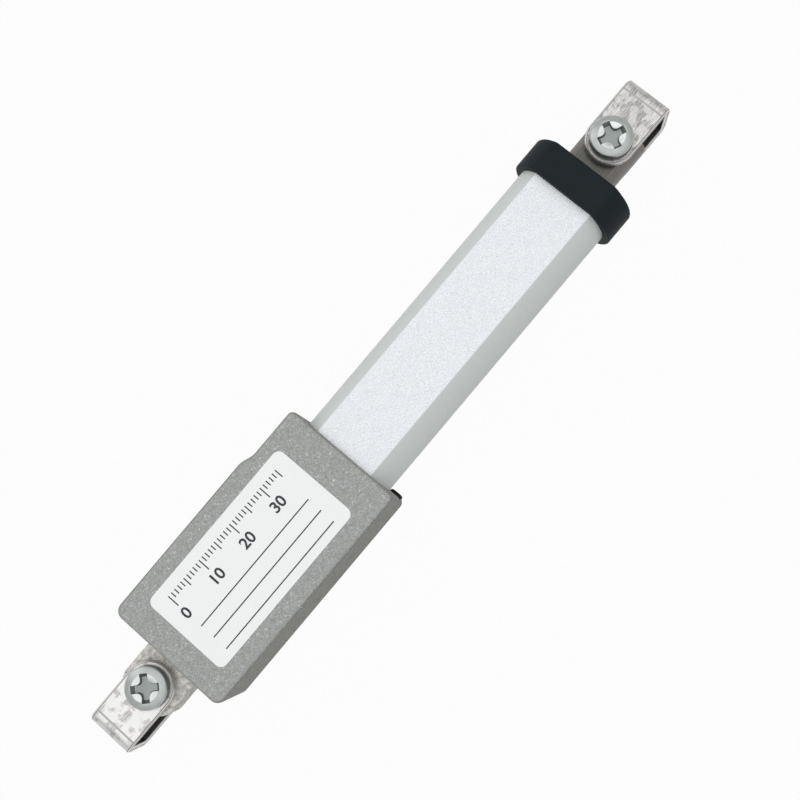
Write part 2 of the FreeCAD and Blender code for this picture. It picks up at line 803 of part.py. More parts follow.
def second_carrier():
    """Gearbox output: the plate and the hub that grips the screw's journal."""
    plate = bar(second_carrier_rear, second_carrier_front, carrier_diameter)
    plate = plate.cut(carrier_pins(second_carrier_rear, second_carrier_front))
    hub = bar(second_carrier_front, tube_rear, hub_diameter)
    return plate.fuse(hub).cut(bar(second_carrier_rear, tube_rear, journal_diameter)).removeSplitter()


def motor_can():
    """Drawn steel cup, closed towards the gearbox."""
    cup = bar(motor_rear + end_bell_flange, motor_front, motor_diameter)
    hollow = bar(motor_rear, motor_front - motor_can_wall, motor_diameter - 2 * motor_can_wall)
    return cup.cut([hollow, bar(motor_rear, motor_front, motor_bush_diameter)])


def end_bell():
    """Plastic rear end of the motor, with the brush gear and terminals."""
    flange = bar(motor_rear, motor_rear + end_bell_flange, motor_diameter)
    plug = bar(motor_rear + end_bell_flange, motor_rear + end_bell_depth, motor_diameter - 2 * motor_can_wall)
    solid = flange.fuse(plug).cut(bar(motor_rear, motor_rear + end_bell_depth, motor_bush_diameter))
    return solid.cut(terminal_tabs()).removeSplitter()


def terminal_tabs():
    start = motor_rear - terminal_room + terminal_end_gap
    end = motor_rear + end_bell_flange
    tabs = []
    for side in (-1, 1):
        middle = side * terminal_offset
        tabs.append(block(start, end, middle - terminal_thickness / 2, middle + terminal_thickness / 2,
                          -terminal_width / 2, terminal_width / 2))
    return tabs


def motor_bush(x_low, x_high):
    bore = motor_shaft_diameter + 2 * motor_bush_clearance
    return bar(x_low, x_high, motor_bush_diameter).cut(bar(x_low, x_high, bore))


def motor_bushes():
    rear_bush = motor_bush(motor_rear, motor_rear + end_bell_depth - motor_bush_recess)
    return Part.makeCompound([rear_bush, motor_bush(motor_front - motor_can_wall, ring_rear)])


def magnet_span_along():
    """Stations of the magnets, ahead of the brushes."""
    start = motor_rear + end_bell_depth + magnet_rear_gap
    return start, motor_front - motor_can_wall - magnet_front_gap


def motor_magnets():
    """Two arc magnets inside the can."""
    outer = motor_diameter - 2 * motor_can_wall
    start, end = magnet_span_along()
    magnets = []
    for side in (-1, 1):
        ring = Part.makeCylinder(outer / 2, end - start, point(start, 0, 0), ALONG_X, magnet_span)
        ring = ring.cut(bar(start, end, outer - 2 * magnet_thickness))
        ring.rotate(point(0, 0, 0), ALONG_X, 90 * side - magnet_span / 2)
        magnets.append(ring)
    return Part.makeCompound(magnets)


def armature_span():
    """Stations of the armature, centred in the magnets."""
    start, end = magnet_span_along()
    return start + armature_inset, end - armature_inset


def armature_radius():
    return motor_diameter / 2 - motor_can_wall - magnet_thickness - armature_gap


def winding_slots(shrink):
    """Slots between the poles, or the coils that fill them."""
    start, end = armature_span()
    slots = []
    for index in range(armature_poles):
        low = motor_shaft_diameter / 2 + slot_bridge + shrink
        high = armature_radius() - shrink
        half = slot_width / 2 - shrink
        slot = block(start, end, -half, half, low, high if shrink else 2 * high)
        slot.rotate(point(0, 0, 0), ALONG_X, 360 * index / armature_poles)
        slots.append(slot)
    return slots


def armature_core():
    start, end = armature_span()
    core = bar(start, end, 2 * armature_radius()).cut(bar(start, end, motor_shaft_diameter))
    return core.cut(winding_slots(0.0))


def armature_windings():
    start, end = armature_span()
    room = bar(start, end, 2 * armature_radius())
    return Part.makeCompound([slot.common(room) for slot in winding_slots(tube_fit)])


def commutator_start():
    return motor_rear + end_bell_depth + brush_gap * 4


def commutator():
    start = commutator_start()
    end = start + commutator_length
    return bar(start, end, commutator_diameter).cut(bar(start, end, motor_shaft_diameter))


def motor_brushes():
    """Two carbon brushes held on the end bell, above and below the commutator."""
    start = motor_rear + end_bell_depth
    low = commutator_diameter / 2 + brush_gap
    high = low + brush_length
    brushes = []
    for side in (-1, 1):
        bottom, top = sorted((side * low, side * high))
        brushes.append(block(start, start + commutator_length, -brush_width / 2, brush_width / 2, bottom, top))
    return Part.makeCompound(brushes)


def motor_shaft():
    return bar(motor_rear, ring_rear + gear_side_gap + first_planet_width, motor_shaft_diameter)


def switch_board():
    """Circuit board strip that lies on the tube's lower flat."""
    start = spigot_front + board_end_gap
    end = bush_rear - board_end_gap
    return block(start, end, -board_width / 2, board_width / 2, -tube_bore_flats / 2, board_top)


def limit_switch(rib_face, outward):
    """Side-acting switch on the strip; outward is -1 for the rear one and 1 for the front one."""
    near = rib_face + outward * trip_gap
    body_near = near + outward * plunger_length
    body_far = body_near + outward * switch_length
    low, high = sorted((body_near, body_far))
    body = block(low, high, -switch_width / 2, switch_width / 2, board_top, switch_top)
    low, high = sorted((near, body_near))
    middle = (board_top + switch_top) / 2
    quarter = (switch_top - board_top) / 4
    nib = block(low, high, -plunger_width / 2, plunger_width / 2, middle - quarter, middle + quarter)
    return body.fuse(nib).removeSplitter()


def rear_limit_switch():
    return limit_switch(trip_rib_rear, -1)


def front_limit_switch():
    return limit_switch(trip_rib_rear + trip_rib_length + stroke, 1)


def steering_diodes():
    """Two small diodes in the middle of the strip."""
    middle = trip_rib_rear + stroke / 2
    start = middle - diode_length / 2
    height = board_top + diode_diameter / 2
    return Part.makeCompound([
        bar(start, start + diode_length, diode_diameter, side * diode_spacing / 2, height)
        for side in (-1, 1)])


nodes = {
    "gear_housing": gear_housing(),
    "base_cover": base_cover(),
    "cover_screws": cover_screws(),
    "label_plate": label_plate(),
    "cable_grommet": cable_grommet(),
    "outer_tube": outer_tube(),
    "tube_screws": tube_screws(),
    "end_cap": end_cap(),
    "rod_wiper": rod_wiper(),
    "guide_bush": guide_bush(),
    "motor_can": motor_can(),
    "motor_end_bell": end_bell(),
    "motor_terminals": Part.makeCompound(terminal_tabs()),
    "motor_bushes": motor_bushes(),
    "motor_magnets": motor_magnets(),
    "motor_brushes": motor_brushes(),
    "motor_shaft": motor_shaft(),
    "armature_core": armature_core(),
    "armature_windings": armature_windings(),
    "commutator": commutator(),
    "first_sun_gear": first_sun(),
    "gear_plate": gear_plate(),
    "ring_gear": ring_gear(),
    "first_carrier": first_carrier(),
    "first_carrier_pins": Part.makeCompound(carrier_pins(ring_rear + gear_side_gap, first_carrier_front)),
    "second_carrier": second_carrier(),
    "second_carrier_pins": Part.makeCompound(
        carrier_pins(first_carrier_front + gear_side_gap, second_carrier_front)),
    "bearing_block": bearing_block(),
    "bearing_retainer": bearing_retainer(),
    "bearing_outer_ring": bearing_outer_ring(),
    "bearing_inner_ring": bearing_inner_ring(),
    "bearing_balls": bearing_balls(),
    "ball_cage": ball_cage(),
    "lead_screw": lead_screw(),
    "drive_nut": drive_nut(),
    "nut_grub_screws": nut_grub_screws(),
    "rod_tube": rod_tube(),
    "switch_board": switch_board(),
    "rear_limit_switch": rear_limit_switch(),
    "front_limit_switch": front_limit_switch(),
    "steering_diodes": steering_diodes(),
    "rear_bracket": bracket(rear_pivot, -1),
    "rear_pivot_screw": pivot_screw(rear_pivot),
    "rear_pivot_nut": pivot_nut(rear_pivot),
    "front_bracket": bracket(front_pivot, 1),
    "front_pivot_screw": pivot_screw(front_pivot),
    "front_pivot_nut": pivot_nut(front_pivot),
}
for letter, angle in zip("abcdef", planet_angles()):
    first_start = ring_rear + gear_side_gap
    second_start = first_carrier_front + gear_side_gap
    nodes["first_planet_" + letter] = planet(first_start, first_planet_width, angle)
    nodes["second_planet_" + letter] = planet(second_start, second_planet_width, angle)

os.makedirs("parts", exist_ok=True)
for name, shape in nodes.items():
    if not shape.isValid():
        print("not valid:", name)
    shape.exportStep("parts/" + name + ".step")
print("pieces:", len(nodes), "solids:", sum(len(shape.Solids) for shape in nodes.values()))
print("hole to hole:", round(front_pivot - rear_pivot, 3), "overall:", round(overall_length, 3))
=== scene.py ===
# %% [markdown]
# # A micro linear actuator
# A small motor and gearbox turn a screw inside a tube, and the screw pushes a rod out of the far end.
# The exact solids come in as a fixed frame. This lesson models the pieces that show again, by hand, with
# the soft edges and recesses of the real ones, and gives every piece a finish made from nodes.

# %% Load the frame
import json
import math

import bmesh
import bpy
from mathutils import Matrix, Vector


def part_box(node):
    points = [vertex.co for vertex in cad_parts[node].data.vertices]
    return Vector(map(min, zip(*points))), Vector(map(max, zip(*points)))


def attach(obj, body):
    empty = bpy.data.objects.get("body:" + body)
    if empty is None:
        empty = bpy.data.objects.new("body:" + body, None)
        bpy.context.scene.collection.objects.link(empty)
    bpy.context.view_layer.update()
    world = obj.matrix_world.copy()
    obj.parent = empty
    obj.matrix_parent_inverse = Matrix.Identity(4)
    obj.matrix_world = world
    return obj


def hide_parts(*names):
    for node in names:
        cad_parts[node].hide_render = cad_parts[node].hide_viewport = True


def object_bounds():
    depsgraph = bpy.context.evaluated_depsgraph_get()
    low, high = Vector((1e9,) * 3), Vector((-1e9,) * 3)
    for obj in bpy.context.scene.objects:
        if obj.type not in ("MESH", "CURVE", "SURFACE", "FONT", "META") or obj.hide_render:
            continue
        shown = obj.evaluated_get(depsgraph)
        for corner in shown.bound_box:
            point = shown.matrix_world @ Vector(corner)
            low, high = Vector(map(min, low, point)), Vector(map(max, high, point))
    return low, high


mm = 0.001
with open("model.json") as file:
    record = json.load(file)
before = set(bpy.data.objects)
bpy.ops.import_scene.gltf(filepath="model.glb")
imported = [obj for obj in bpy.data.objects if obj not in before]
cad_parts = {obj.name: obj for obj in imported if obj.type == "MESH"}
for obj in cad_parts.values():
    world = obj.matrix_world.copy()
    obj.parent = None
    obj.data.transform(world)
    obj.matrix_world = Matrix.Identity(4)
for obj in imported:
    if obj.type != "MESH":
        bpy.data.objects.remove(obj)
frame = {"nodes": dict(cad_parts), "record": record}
cad_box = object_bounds()

# %% [markdown]
# ## The camera
# The picture was taken from almost straight above, a little towards the near side, with the camera rolled
# so that the actuator lies on a diagonal. A camera is easiest to read as three things: where it stands,
# what it looks at, and how far it is rolled. A matrix made from those needs no constraint and no target.

# %% Place the camera
picture_size = 800
focal_pixels = 1229
sensor_width = 36.0
camera_place = Vector((87.0, -44.0, 268.9)) * mm
camera_target = Vector((95.9, -0.4, 0.0)) * mm
camera_roll = math.radians(50.15)


def add_camera():
    """A camera at its place, turned to its target and then rolled about its own line of sight."""
    forward = (camera_target - camera_place).normalized()
    level_right = forward.cross(Vector((0, 1, 0))).normalized()
    level_up = level_right.cross(forward)
    right = level_right * math.cos(camera_roll) - level_up * math.sin(camera_roll)
    up = level_right * math.sin(camera_roll) + level_up * math.cos(camera_roll)
    turn = Matrix((right, up, -forward)).transposed().to_4x4()
    bpy.ops.object.camera_add()
    camera = bpy.context.object
    camera.name = "picture_camera"
    camera.data.sensor_width = sensor_width
    camera.data.lens = focal_pixels / picture_size * sensor_width
    camera.data.clip_start = 0.01
    camera.matrix_world = Matrix.Translation(camera_place) @ turn
    bpy.context.scene.camera = camera
    return camera


print("lens:", round(add_camera().data.lens, 1), "mm")

# %% [markdown]
# ## Sums on sockets
# A finish is a web of nodes, and most of those nodes do plain arithmetic. Written node by node, that hides
# the idea. So a socket is wrapped in a small class whose operators add the Math nodes, and one method adds
# every other kind of node. A whole finish can then be read as a few lines of sums.

# %% Wrap the sockets
finishes = {}


class Wire:
    """An output socket that takes part in Python sums."""

    def __init__(self, web, socket):
        self.web = web
        self.socket = socket

    def sum(self, operation, first, second):
        return self.web.node("ShaderNodeMath", {"operation": operation}, {0: first, 1: second})

    def __add__(self, other):
        return self.sum("ADD", self, other)

    def __sub__(self, other):
        return self.sum("SUBTRACT", self, other)

    def __rsub__(self, other):
        return self.sum("SUBTRACT", other, self)

    def __mul__(self, other):
        return self.sum("MULTIPLY", self, other)

    def __truediv__(self, other):
        return self.sum("DIVIDE", self, other)

    def size(self):
        """The value without its sign."""
        return self.sum("ABSOLUTE", self, 0)

    def or_more(self, other):
        """The larger of two values."""
        return self.sum("MAXIMUM", self, other)

    __radd__ = __add__


class Web:
    """A tree of nodes in the making."""

    def __init__(self, tree):
        self.tree = tree

    def node(self, kind, settings=None, inputs=None, output=0):
        """Add a node, set it up, then fill or link its sockets."""
        added = self.tree.nodes.new(kind)
        for name, value in (settings or {}).items():
            if name == "stops":
                self.set_stops(added.color_ramp, value)
            else:
                setattr(added, name, value)
        for name, value in (inputs or {}).items():
            self.feed(added.inputs[name], value)
        return Wire(self, added.outputs[output])

    def set_stops(self, ramp, stops):
        """Give a colour ramp its stops, each a place and a grey shade or a colour."""
        while len(ramp.elements) < len(stops):
            ramp.elements.new(0.5)
        for element, (place, shade) in zip(ramp.elements, stops):
            element.position = place
            element.color = (*shade, 1) if isinstance(shade, tuple) else (shade, shade, shade, 1)

    def feed(self, socket, value):
        if isinstance(value, Wire):
            self.tree.links.new(value.socket, socket)
        else:
            socket.default_value = value


# %% [markdown]
# A finish adds the few patterns that metal and plastic need: clouds, grains, and both of them stretched
# along one direction. They are laid out in the piece's own space, so a pattern keeps its size in
# millimetres on every piece and stays on it when the piece moves.

# %% Patterns for the finishes


class Finish(Web):
    """A material in the making."""

    def __init__(self, name):
        self.name = name
        self.material = bpy.data.materials.new(name)
        self.material.use_nodes = True
        super().__init__(self.material.node_tree)
        metres = self.node("ShaderNodeTexCoord", output="Object")
        self.place = self.node("ShaderNodeMapping", inputs={"Vector": metres, "Scale": (1 / mm,) * 3})

    def axis(self, name):
        """The distance along one axis of the piece's space, in millimetres."""
        return self.node("ShaderNodeSeparateXYZ", inputs={"Vector": self.place}, output=name)

    def stretched(self, along, across, upright):
        """The piece's space with a pattern drawn out to these sizes in millimetres."""
        sizes = (1 / along, 1 / across, 1 / upright)
        return self.node("ShaderNodeMapping", inputs={"Vector": self.place, "Scale": sizes})

    def noise(self, size, detail=3.0, roughness=0.55, place=None):
        """Cloudy noise with features of a size in millimetres, or of one unit of a stretched space."""
        inputs = {"Vector": place or self.place, "Scale": 1 / size, "Detail": detail, "Roughness": roughness}
        return self.node("ShaderNodeTexNoise", inputs=inputs)

    def grains(self, size):
        """Round grains of a size in millimetres: 0 in the middle of each grain, rising outwards."""
        return self.node("ShaderNodeTexVoronoi", inputs={"Vector": self.place, "Scale": 1 / size})

    def ramp(self, value, *stops):
        """Bend a value along straight runs between (place, shade) stops."""
        return self.node("ShaderNodeValToRGB", {"stops": stops}, {0: value})

    def mix(self, mask, low, high):
        """One colour where the mask is 0 and another where it is 1."""
        low, high = (side if isinstance(side, Wire) else (*side, 1) for side in (low, high))
        return self.node("ShaderNodeMix", {"data_type": "RGBA"}, {0: mask, 6: low, 7: high}, output=2)

    def bump(self, height, depth, strength=1.0):
        """Small relief of a depth in millimetres."""
        inputs = {"Strength": strength, "Distance": depth * mm, "Height": height}
        return self.node("ShaderNodeBump", inputs=inputs)

    def done(self, **sockets):
        """Fill the surface's sockets, with _ for a space in their names, and keep the material."""
        surface = self.tree.nodes["Principled BSDF"]
        for name, value in sockets.items():
            self.feed(surface.inputs[name.replace("_", " ")], value)
        finishes[self.name] = self.material


# %% [markdown]
# ## Finishes that show
# The housing is die-cast and then blasted with grit, so it is a dull grey with a fine mottle. Two clouds of
# noise, one coarse and one fine, give the mottle, and the centres of small grains add painted glints: bright
# points painted into the colour as highlights. The walls take a darker copy of the finish, painted shade for
# the smaller share of light that falls on them. The lug is a warmer and lighter grey than the box.

# %% Cast housing
painted_glint_gain = 1.75
lug_span = 25.0


def cast_alloy(name, dark, light):
    finish = Finish(name)
    coarse = finish.ramp(finish.noise(1.1, 3), (0.32, 0.0), (0.68, 1.0))
    fine = finish.ramp(finish.noise(0.27, 2, 0.7), (0.35, 0.0), (0.65, 1.0))
    # Painted glints: bright grains painted into the base colour as highlights.
    painted_glints = finish.ramp(finish.grains(0.8), (0.0, 1.0), (0.3, 0.0)) * coarse
    mottle = coarse * 0.2 + fine * 0.8
    bright = tuple(painted_glint_gain * part for part in light)
    blasted = finish.mix(painted_glints, finish.mix(mottle, dark, light), bright)
    lug_grey = finish.mix(coarse * 0.6 + fine * 0.4, (0.3, 0.285, 0.26), (1.0, 0.985, 0.935))
    lug = finish.ramp(finish.axis("X") / lug_span, (0.8, 1.0), (0.88, 0.0))
    relief = finish.noise(0.35, 3) + finish.noise(1.4) * 0.5
    finish.done(Base_Color=finish.mix(lug, blasted, lug_grey), Metallic=0.05, Roughness=0.65 - mottle * 0.15,
                Specular_IOR_Level=0.08, Normal=finish.bump(relief, 0.12, 0.6))


cast_alloy("cast_alloy", (0.245, 0.25, 0.24), (0.455, 0.465, 0.45))
# A darker copy of the cast finish for the walls: painted shade.
cast_alloy("cast_wall_painted_shade", (0.2, 0.2, 0.18), (0.34, 0.34, 0.31))
print("cast finishes:", list(finishes))

# %% [markdown]
# The tube is an extrusion that was clear anodised. Its two flats were blasted first, so they are nearly
# white with a fine sparkle, and the round sides between them are smoother and greyer. Its rod is drawn bar
# with a dark satin skin, finely scored along its length; its flats are painted darker than its round sides,
# painted shade for the shadow of the cap and the bracket.

# %% Tube and rod
side_span = 10.0


def anodised_tube():
    finish = Finish("anodised_tube")
    speckle = finish.noise(0.24, 2, 0.7)
    pits = finish.ramp(finish.grains(0.42), (0.0, 0.0), (0.35, 1.0))
    tone = finish.ramp(speckle, (0.3, 0.0), (0.7, 1.0)) * 0.75 + pits * 0.25
    flats = finish.mix(tone, (0.52, 0.54, 0.57), (0.97, 0.985, 1.0))
    rounds = finish.mix(finish.noise(1.5), (0.6, 0.625, 0.61), (0.66, 0.685, 0.67))
    round_side = finish.ramp(finish.axis("Y").size() / side_span, (0.745, 0.0), (0.755, 1.0))
    finish.done(Base_Color=finish.mix(round_side, flats, rounds), Metallic=0.15,
                Roughness=0.52 - speckle * 0.1, Specular_IOR_Level=0.2,
                Normal=finish.bump(speckle, 0.04, 0.5))


def rod_alloy():
    finish = Finish("rod_alloy")
    drawn = finish.noise(1.0, 4, 0.6, finish.stretched(9.0, 0.12, 0.12))
    scores = finish.ramp(drawn, (0.3, 0.0), (0.7, 1.0))
    haze = finish.noise(2.5)
    tone = scores * 0.6 + haze * 0.4
    # The flats are painted darker than the rounds: painted shade for the shadow of the cap and the bracket.
    flats = finish.mix(tone, (0.07, 0.069, 0.06), (0.2, 0.196, 0.175))
    rounds = finish.mix(tone, (0.11, 0.1, 0.09), (0.26, 0.245, 0.23))
    round_side = finish.ramp(finish.axis("Y").size() / side_span, (0.425, 0.0), (0.435, 1.0))
    finish.done(Base_Color=finish.mix(round_side, flats, rounds), Metallic=0.8,
                Roughness=0.38 + haze * 0.14, Normal=finish.bump(scores, 0.02, 0.5))


anodised_tube()
rod_alloy()
print("with tube and rod:", len(finishes))

# %% [markdown]
# The end cap is moulded in black nylon with a very fine grain. Rubber parts are darker still and rougher.
# The label is a smooth white film, and its ink is nearly black.

# %% Mouldings and rubber


def moulded(name, colour, roughness, grain=0.25, lighter=1.25, gloss=0.5):
    """A moulded plastic: faint clouds in the colour and a spark-eroded grain in the relief."""
    finish = Finish(name)
    clouds = finish.noise(3.0)
    pattern = finish.noise(grain, 2)
    tint = finish.mix(clouds, colour, tuple(min(1.0, part * lighter) for part in colour))
    finish.done(Base_Color=tint, Roughness=clouds * 0.1 + (roughness - 0.05), Specular_IOR_Level=gloss,
                Normal=finish.bump(pattern, 0.04, 0.4))


moulded("black_moulding", (0.0135, 0.018, 0.0205), 0.55, gloss=0.05)
moulded("rubber", (0.008, 0.008, 0.008), 0.7, 0.4, gloss=0.2)
moulded("label_film", (0.85, 0.85, 0.845), 0.42, 0.6, 1.03)
moulded("label_ink", (0.02, 0.02, 0.024), 0.5, 0.5)
print("with mouldings:", len(finishes))

# %% [markdown]
# The brackets are stainless sheet. Rolling leaves fine streaks along the strip, and handling scuffs it in
# patches, the front one more than the rear one. Towards the closed end the bend is painted darker, as
# painted shade. The blanking press breaks its edges bright, and two dark lines of painted shade run beside
# each break; the crease that the bending tool leaves is painted darker as painted shade, and the inside is
# painted near black as painted shade. Zinc plate on the screws is greyer and a little cloudy. The facets
# that the punch strikes between the arms of the cross are painted light as painted highlights, the cross
# itself is painted darker as painted shade, and so is the upright rim of the head.

# %% Sheet and plated steel
middle_station = (cad_box[0].x + cad_box[1].x) / 2 / mm
half_length = (cad_box[1].x - cad_box[0].x) / 2 / mm
bend_shade_length = 2.5


def bracket_steel():
    finish = Finish("bracket_steel")
    streaks = finish.noise(1.0, 5, 0.6, finish.stretched(2.0, 0.08, 2.0))
    patches = finish.ramp(finish.noise(2.4, 2), (0.5, 0.0), (0.58, 1.0))
    from_middle = finish.axis("X") - middle_station
    handled = finish.ramp(from_middle / half_length, (0.0, 0.15), (0.5, 0.75))
    scuffs = finish.ramp(streaks, (0.36, 0.0), (0.6, 1.0)) * (patches * 0.75 + handled)
    from_end = half_length - from_middle.size()
    # Painted shade: the bend is painted darker towards the closed end.
    painted_bend_shade = finish.ramp(from_end / bend_shade_length, (0.0, 0.8), (0.3, 0.3), (0.75, 0.12), (0.8, 0.0))
    skin = finish.mix(scuffs, (0.8, 0.79, 0.775), (0.32, 0.3, 0.285))
    bend_shade_grey = finish.mix(streaks, (0.38, 0.38, 0.37), (0.46, 0.46, 0.45))
    finish.done(Base_Color=finish.mix(painted_bend_shade, skin, bend_shade_grey), Metallic=0.9, Roughness=scuffs * 0.14 + 0.34,
                Normal=finish.bump(streaks, 0.012, 0.4))


def plain_steel(name, dark, light, roughness):
    """Steel with soft clouds in its colour and a fine grain in its relief."""
    finish = Finish(name)
    clouds = finish.noise(1.3, 4)
    finish.done(Base_Color=finish.mix(clouds, dark, light), Metallic=0.9,
                Roughness=clouds * 0.12 + roughness, Normal=finish.bump(finish.noise(0.2, 3), 0.02, 0.4))


bracket_steel()
plain_steel("bracket_edge", (0.6, 0.595, 0.58), (0.74, 0.735, 0.72), 0.28)
plain_steel("bracket_painted_shade_line", (0.2, 0.192, 0.18), (0.32, 0.31, 0.295), 0.4)
plain_steel("bracket_painted_crease_shade", (0.36, 0.35, 0.335), (0.46, 0.45, 0.435), 0.4)
plain_steel("bracket_painted_inside_shade", (0.03, 0.032, 0.03), (0.07, 0.07, 0.066), 0.5)
plain_steel("plated_steel", (0.38, 0.4, 0.385), (0.53, 0.555, 0.54), 0.28)
plain_steel("punched_painted_highlight", (0.48, 0.5, 0.49), (0.86, 0.88, 0.87), 0.22)
plain_steel("recess_painted_shade", (0.21, 0.23, 0.22), (0.36, 0.385, 0.37), 0.3)
plain_steel("rim_painted_shade", (0.09, 0.09, 0.085), (0.17, 0.17, 0.16), 0.45)
print("with steels:", len(finishes))

# %% [markdown]
# Inside, nothing shows until the actuator is taken apart, but each piece still gets its own finish. They
# fall into two families, turned or sintered metal and moulded plastic. Then every solid of the frame takes
# the finish that its record names.

# %% Finishes for the works inside


def worked_metal(name, colour, roughness, lines=0.15, darker=0.75):
    """A turned, drawn or sintered metal with fine tool lines round the drive axis."""
    finish = Finish(name)
    lines_along = finish.noise(1.0, 3, 0.6, finish.stretched(lines, 6.0, 6.0))
    cloud = finish.noise(1.6)
    tint = finish.mix(lines_along * 0.5 + cloud * 0.5, tuple(part * darker for part in colour), colour)
    finish.done(Base_Color=tint, Metallic=0.95, Roughness=cloud * 0.16 + (roughness - 0.08),
                Normal=finish.bump(lines_along, 0.02, 0.4))


worked_metal("gear_steel", (0.46, 0.46, 0.46), 0.42)
worked_metal("bright_steel", (0.6, 0.6, 0.61), 0.25)
worked_metal("bronze", (0.55, 0.36, 0.16), 0.45)
worked_metal("copper", (0.6, 0.28, 0.14), 0.35, 0.3)
worked_metal("brass", (0.7, 0.52, 0.22), 0.3)
moulded("bearing_plastic", (0.7, 0.69, 0.64), 0.45)
moulded("ferrite", (0.05, 0.05, 0.055), 0.6, 0.3)
moulded("carbon", (0.025, 0.025, 0.025), 0.55, 0.2)
moulded("motor_plastic", (0.68, 0.67, 0.63), 0.5)
moulded("board", (0.018, 0.12, 0.045), 0.35, 0.8)
moulded("switch_plastic", (0.03, 0.03, 0.035), 0.5)
for row in frame["record"]["subparts"]:
    node = frame["nodes"][row["node"]]
    node.data.materials.clear()
    node.data.materials.append(finishes[row["material_slot"]])
print("finishes:", len(finishes))

# %% [markdown]
# ## Working by hand
# Each new piece starts as a primitive, is shaped in edit mode and is finished with applied modifiers.
# Operators act on whatever is selected, so the first helpers select one piece, and pick faces or edges by
# where they lie.

# %% Select and shape
near = 0.01 * mm
hair = 0.001 * mm


def deselect():
    bpy.ops.object.select_all(action="DESELECT")


def only(piece):
    """Make one piece the selected and active one."""
    deselect()
    piece.select_set(True)
    bpy.context.view_layer.objects.active = piece


def bake(piece):
    """Move a piece's place, turn and scale into its mesh."""
    only(piece)
    bpy.ops.object.transform_apply(location=True, rotation=True, scale=True)


def fresh(name):
    """Name the object that was just added and move its place into its mesh."""
    piece = bpy.context.object
    piece.name = name
    piece.data.name = name
    bake(piece)
    return piece


def shape(piece):
    """Go into edit mode on one piece with everything selected."""
    only(piece)
    bpy.ops.object.mode_set(mode="EDIT")
    bpy.ops.mesh.select_mode(type="VERT")
    bpy.ops.mesh.select_all(action="SELECT")


def leave():
    bpy.ops.object.mode_set(mode="OBJECT")


def pick(piece, kind, wanted):
    """In edit mode, select only the vertices, edges or faces that pass a test."""
    bpy.ops.mesh.select_mode(type=kind)
    bpy.ops.mesh.select_all(action="DESELECT")
    mesh = bmesh.from_edit_mesh(piece.data)
    mesh.normal_update()
    items = {"VERT": mesh.verts, "EDGE": mesh.edges, "FACE": mesh.faces}[kind]
    for item in [item for item in items if wanted(item)]:
        item.select_set(True)
    mesh.select_flush_mode()
    bmesh.update_edit_mesh(piece.data)


def ends(edge):
    return [corner.co for corner in edge.verts]


def level_with(edge, axis, value):
    """True if both ends of an edge have this coordinate."""
    return all(abs(end[axis] - value) < near for end in ends(edge))


def runs_along(edge, axis):
    """True if an edge is straight along one axis."""
    first, second = ends(edge)
    step = second - first
    return all(abs(step[other]) < near for other in range(3) if other != axis)


def round_edges(piece, wanted, width, segments, **settings):
    """In edit mode, round the edges that pass a test."""
    pick(piece, "EDGE", wanted)
    bpy.ops.mesh.bevel(offset=width, segments=segments, affect="EDGES", **settings)


# %% [markdown]
# The rest are the moves that come up again and again: a bar, a cut, smooth shading, a coat of finish. A
# tool that cuts always reaches past the face that it opens, because a boolean can't tell two faces in one
# plane apart.

# %% Cut and finish
past = 1 * mm


def bar(name, start, end, radius, sides=96):
    """A round bar between two points."""
    start, end = Vector(start), Vector(end)
    turn = (end - start).to_track_quat("Z", "Y").to_euler()
    deselect()
    bpy.ops.mesh.primitive_cylinder_add(vertices=sides, radius=radius, depth=(end - start).length,
                                        location=(start + end) / 2, rotation=turn)
    return fresh(name)


def finish_with(piece, kind, **settings):
    """Add a modifier, set it up and apply it."""
    only(piece)
    modifier = piece.modifiers.new(kind.title(), kind)
    for name, value in settings.items():
        setattr(modifier, name, value)
    bpy.ops.object.modifier_apply(modifier=modifier.name)


def cut(piece, *tools, operation="DIFFERENCE"):
    """Cut each tool out of a piece, or add it, and throw the tool away."""
    for tool in tools:
        finish_with(piece, "BOOLEAN", object=tool, operation=operation, solver="EXACT")
        bpy.data.objects.remove(tool)


def smooth(piece, angle=35):
    """Smooth shading that keeps flat faces flat and edges over an angle crisp."""
    only(piece)
    bpy.ops.object.shade_smooth_by_angle(angle=math.radians(angle))
    finish_with(piece, "WEIGHTED_NORMAL", keep_sharp=True)


def coat(piece, *names):
    """Give a piece its finishes, in the order that its material slots count them."""
    for name in names:
        piece.data.materials.append(finishes[name])


def dress(piece, slot, body, *nodes):
    """Give a finished piece its material, its body and the CAD nodes that it stands for."""
    if not piece.data.materials:
        coat(piece, slot)
    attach(piece, body)
    if nodes:
        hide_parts(*nodes)
    print(piece.name, "faces:", len(piece.data.polygons))


# %% [markdown]
# ## The tube, the cap and the rod
# All three have the same section: a circle with a flat above and below. One function makes that double D
# from a round bar with two bisects, and rounds the four long edges, because no extrusion has sharp ones.

# %% Double D bars
half_turn = math.pi
side_counts = range(96, 136, 4)
rim_angle = 0.8
tube_wall = 1.3 * mm
tube_edge_radius = 0.25 * mm
tube_end_radius = 0.12 * mm
tube_low, tube_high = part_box("outer_tube")


def sides_for(radius, flat):
    """A number of sides, in fours, that leaves a wide facet beside the flat for its edge to be rounded in."""
    corner = math.asin(flat / radius) / (2 * half_turn)
    return max(side_counts, key=lambda sides: corner * sides % 1 / sides)


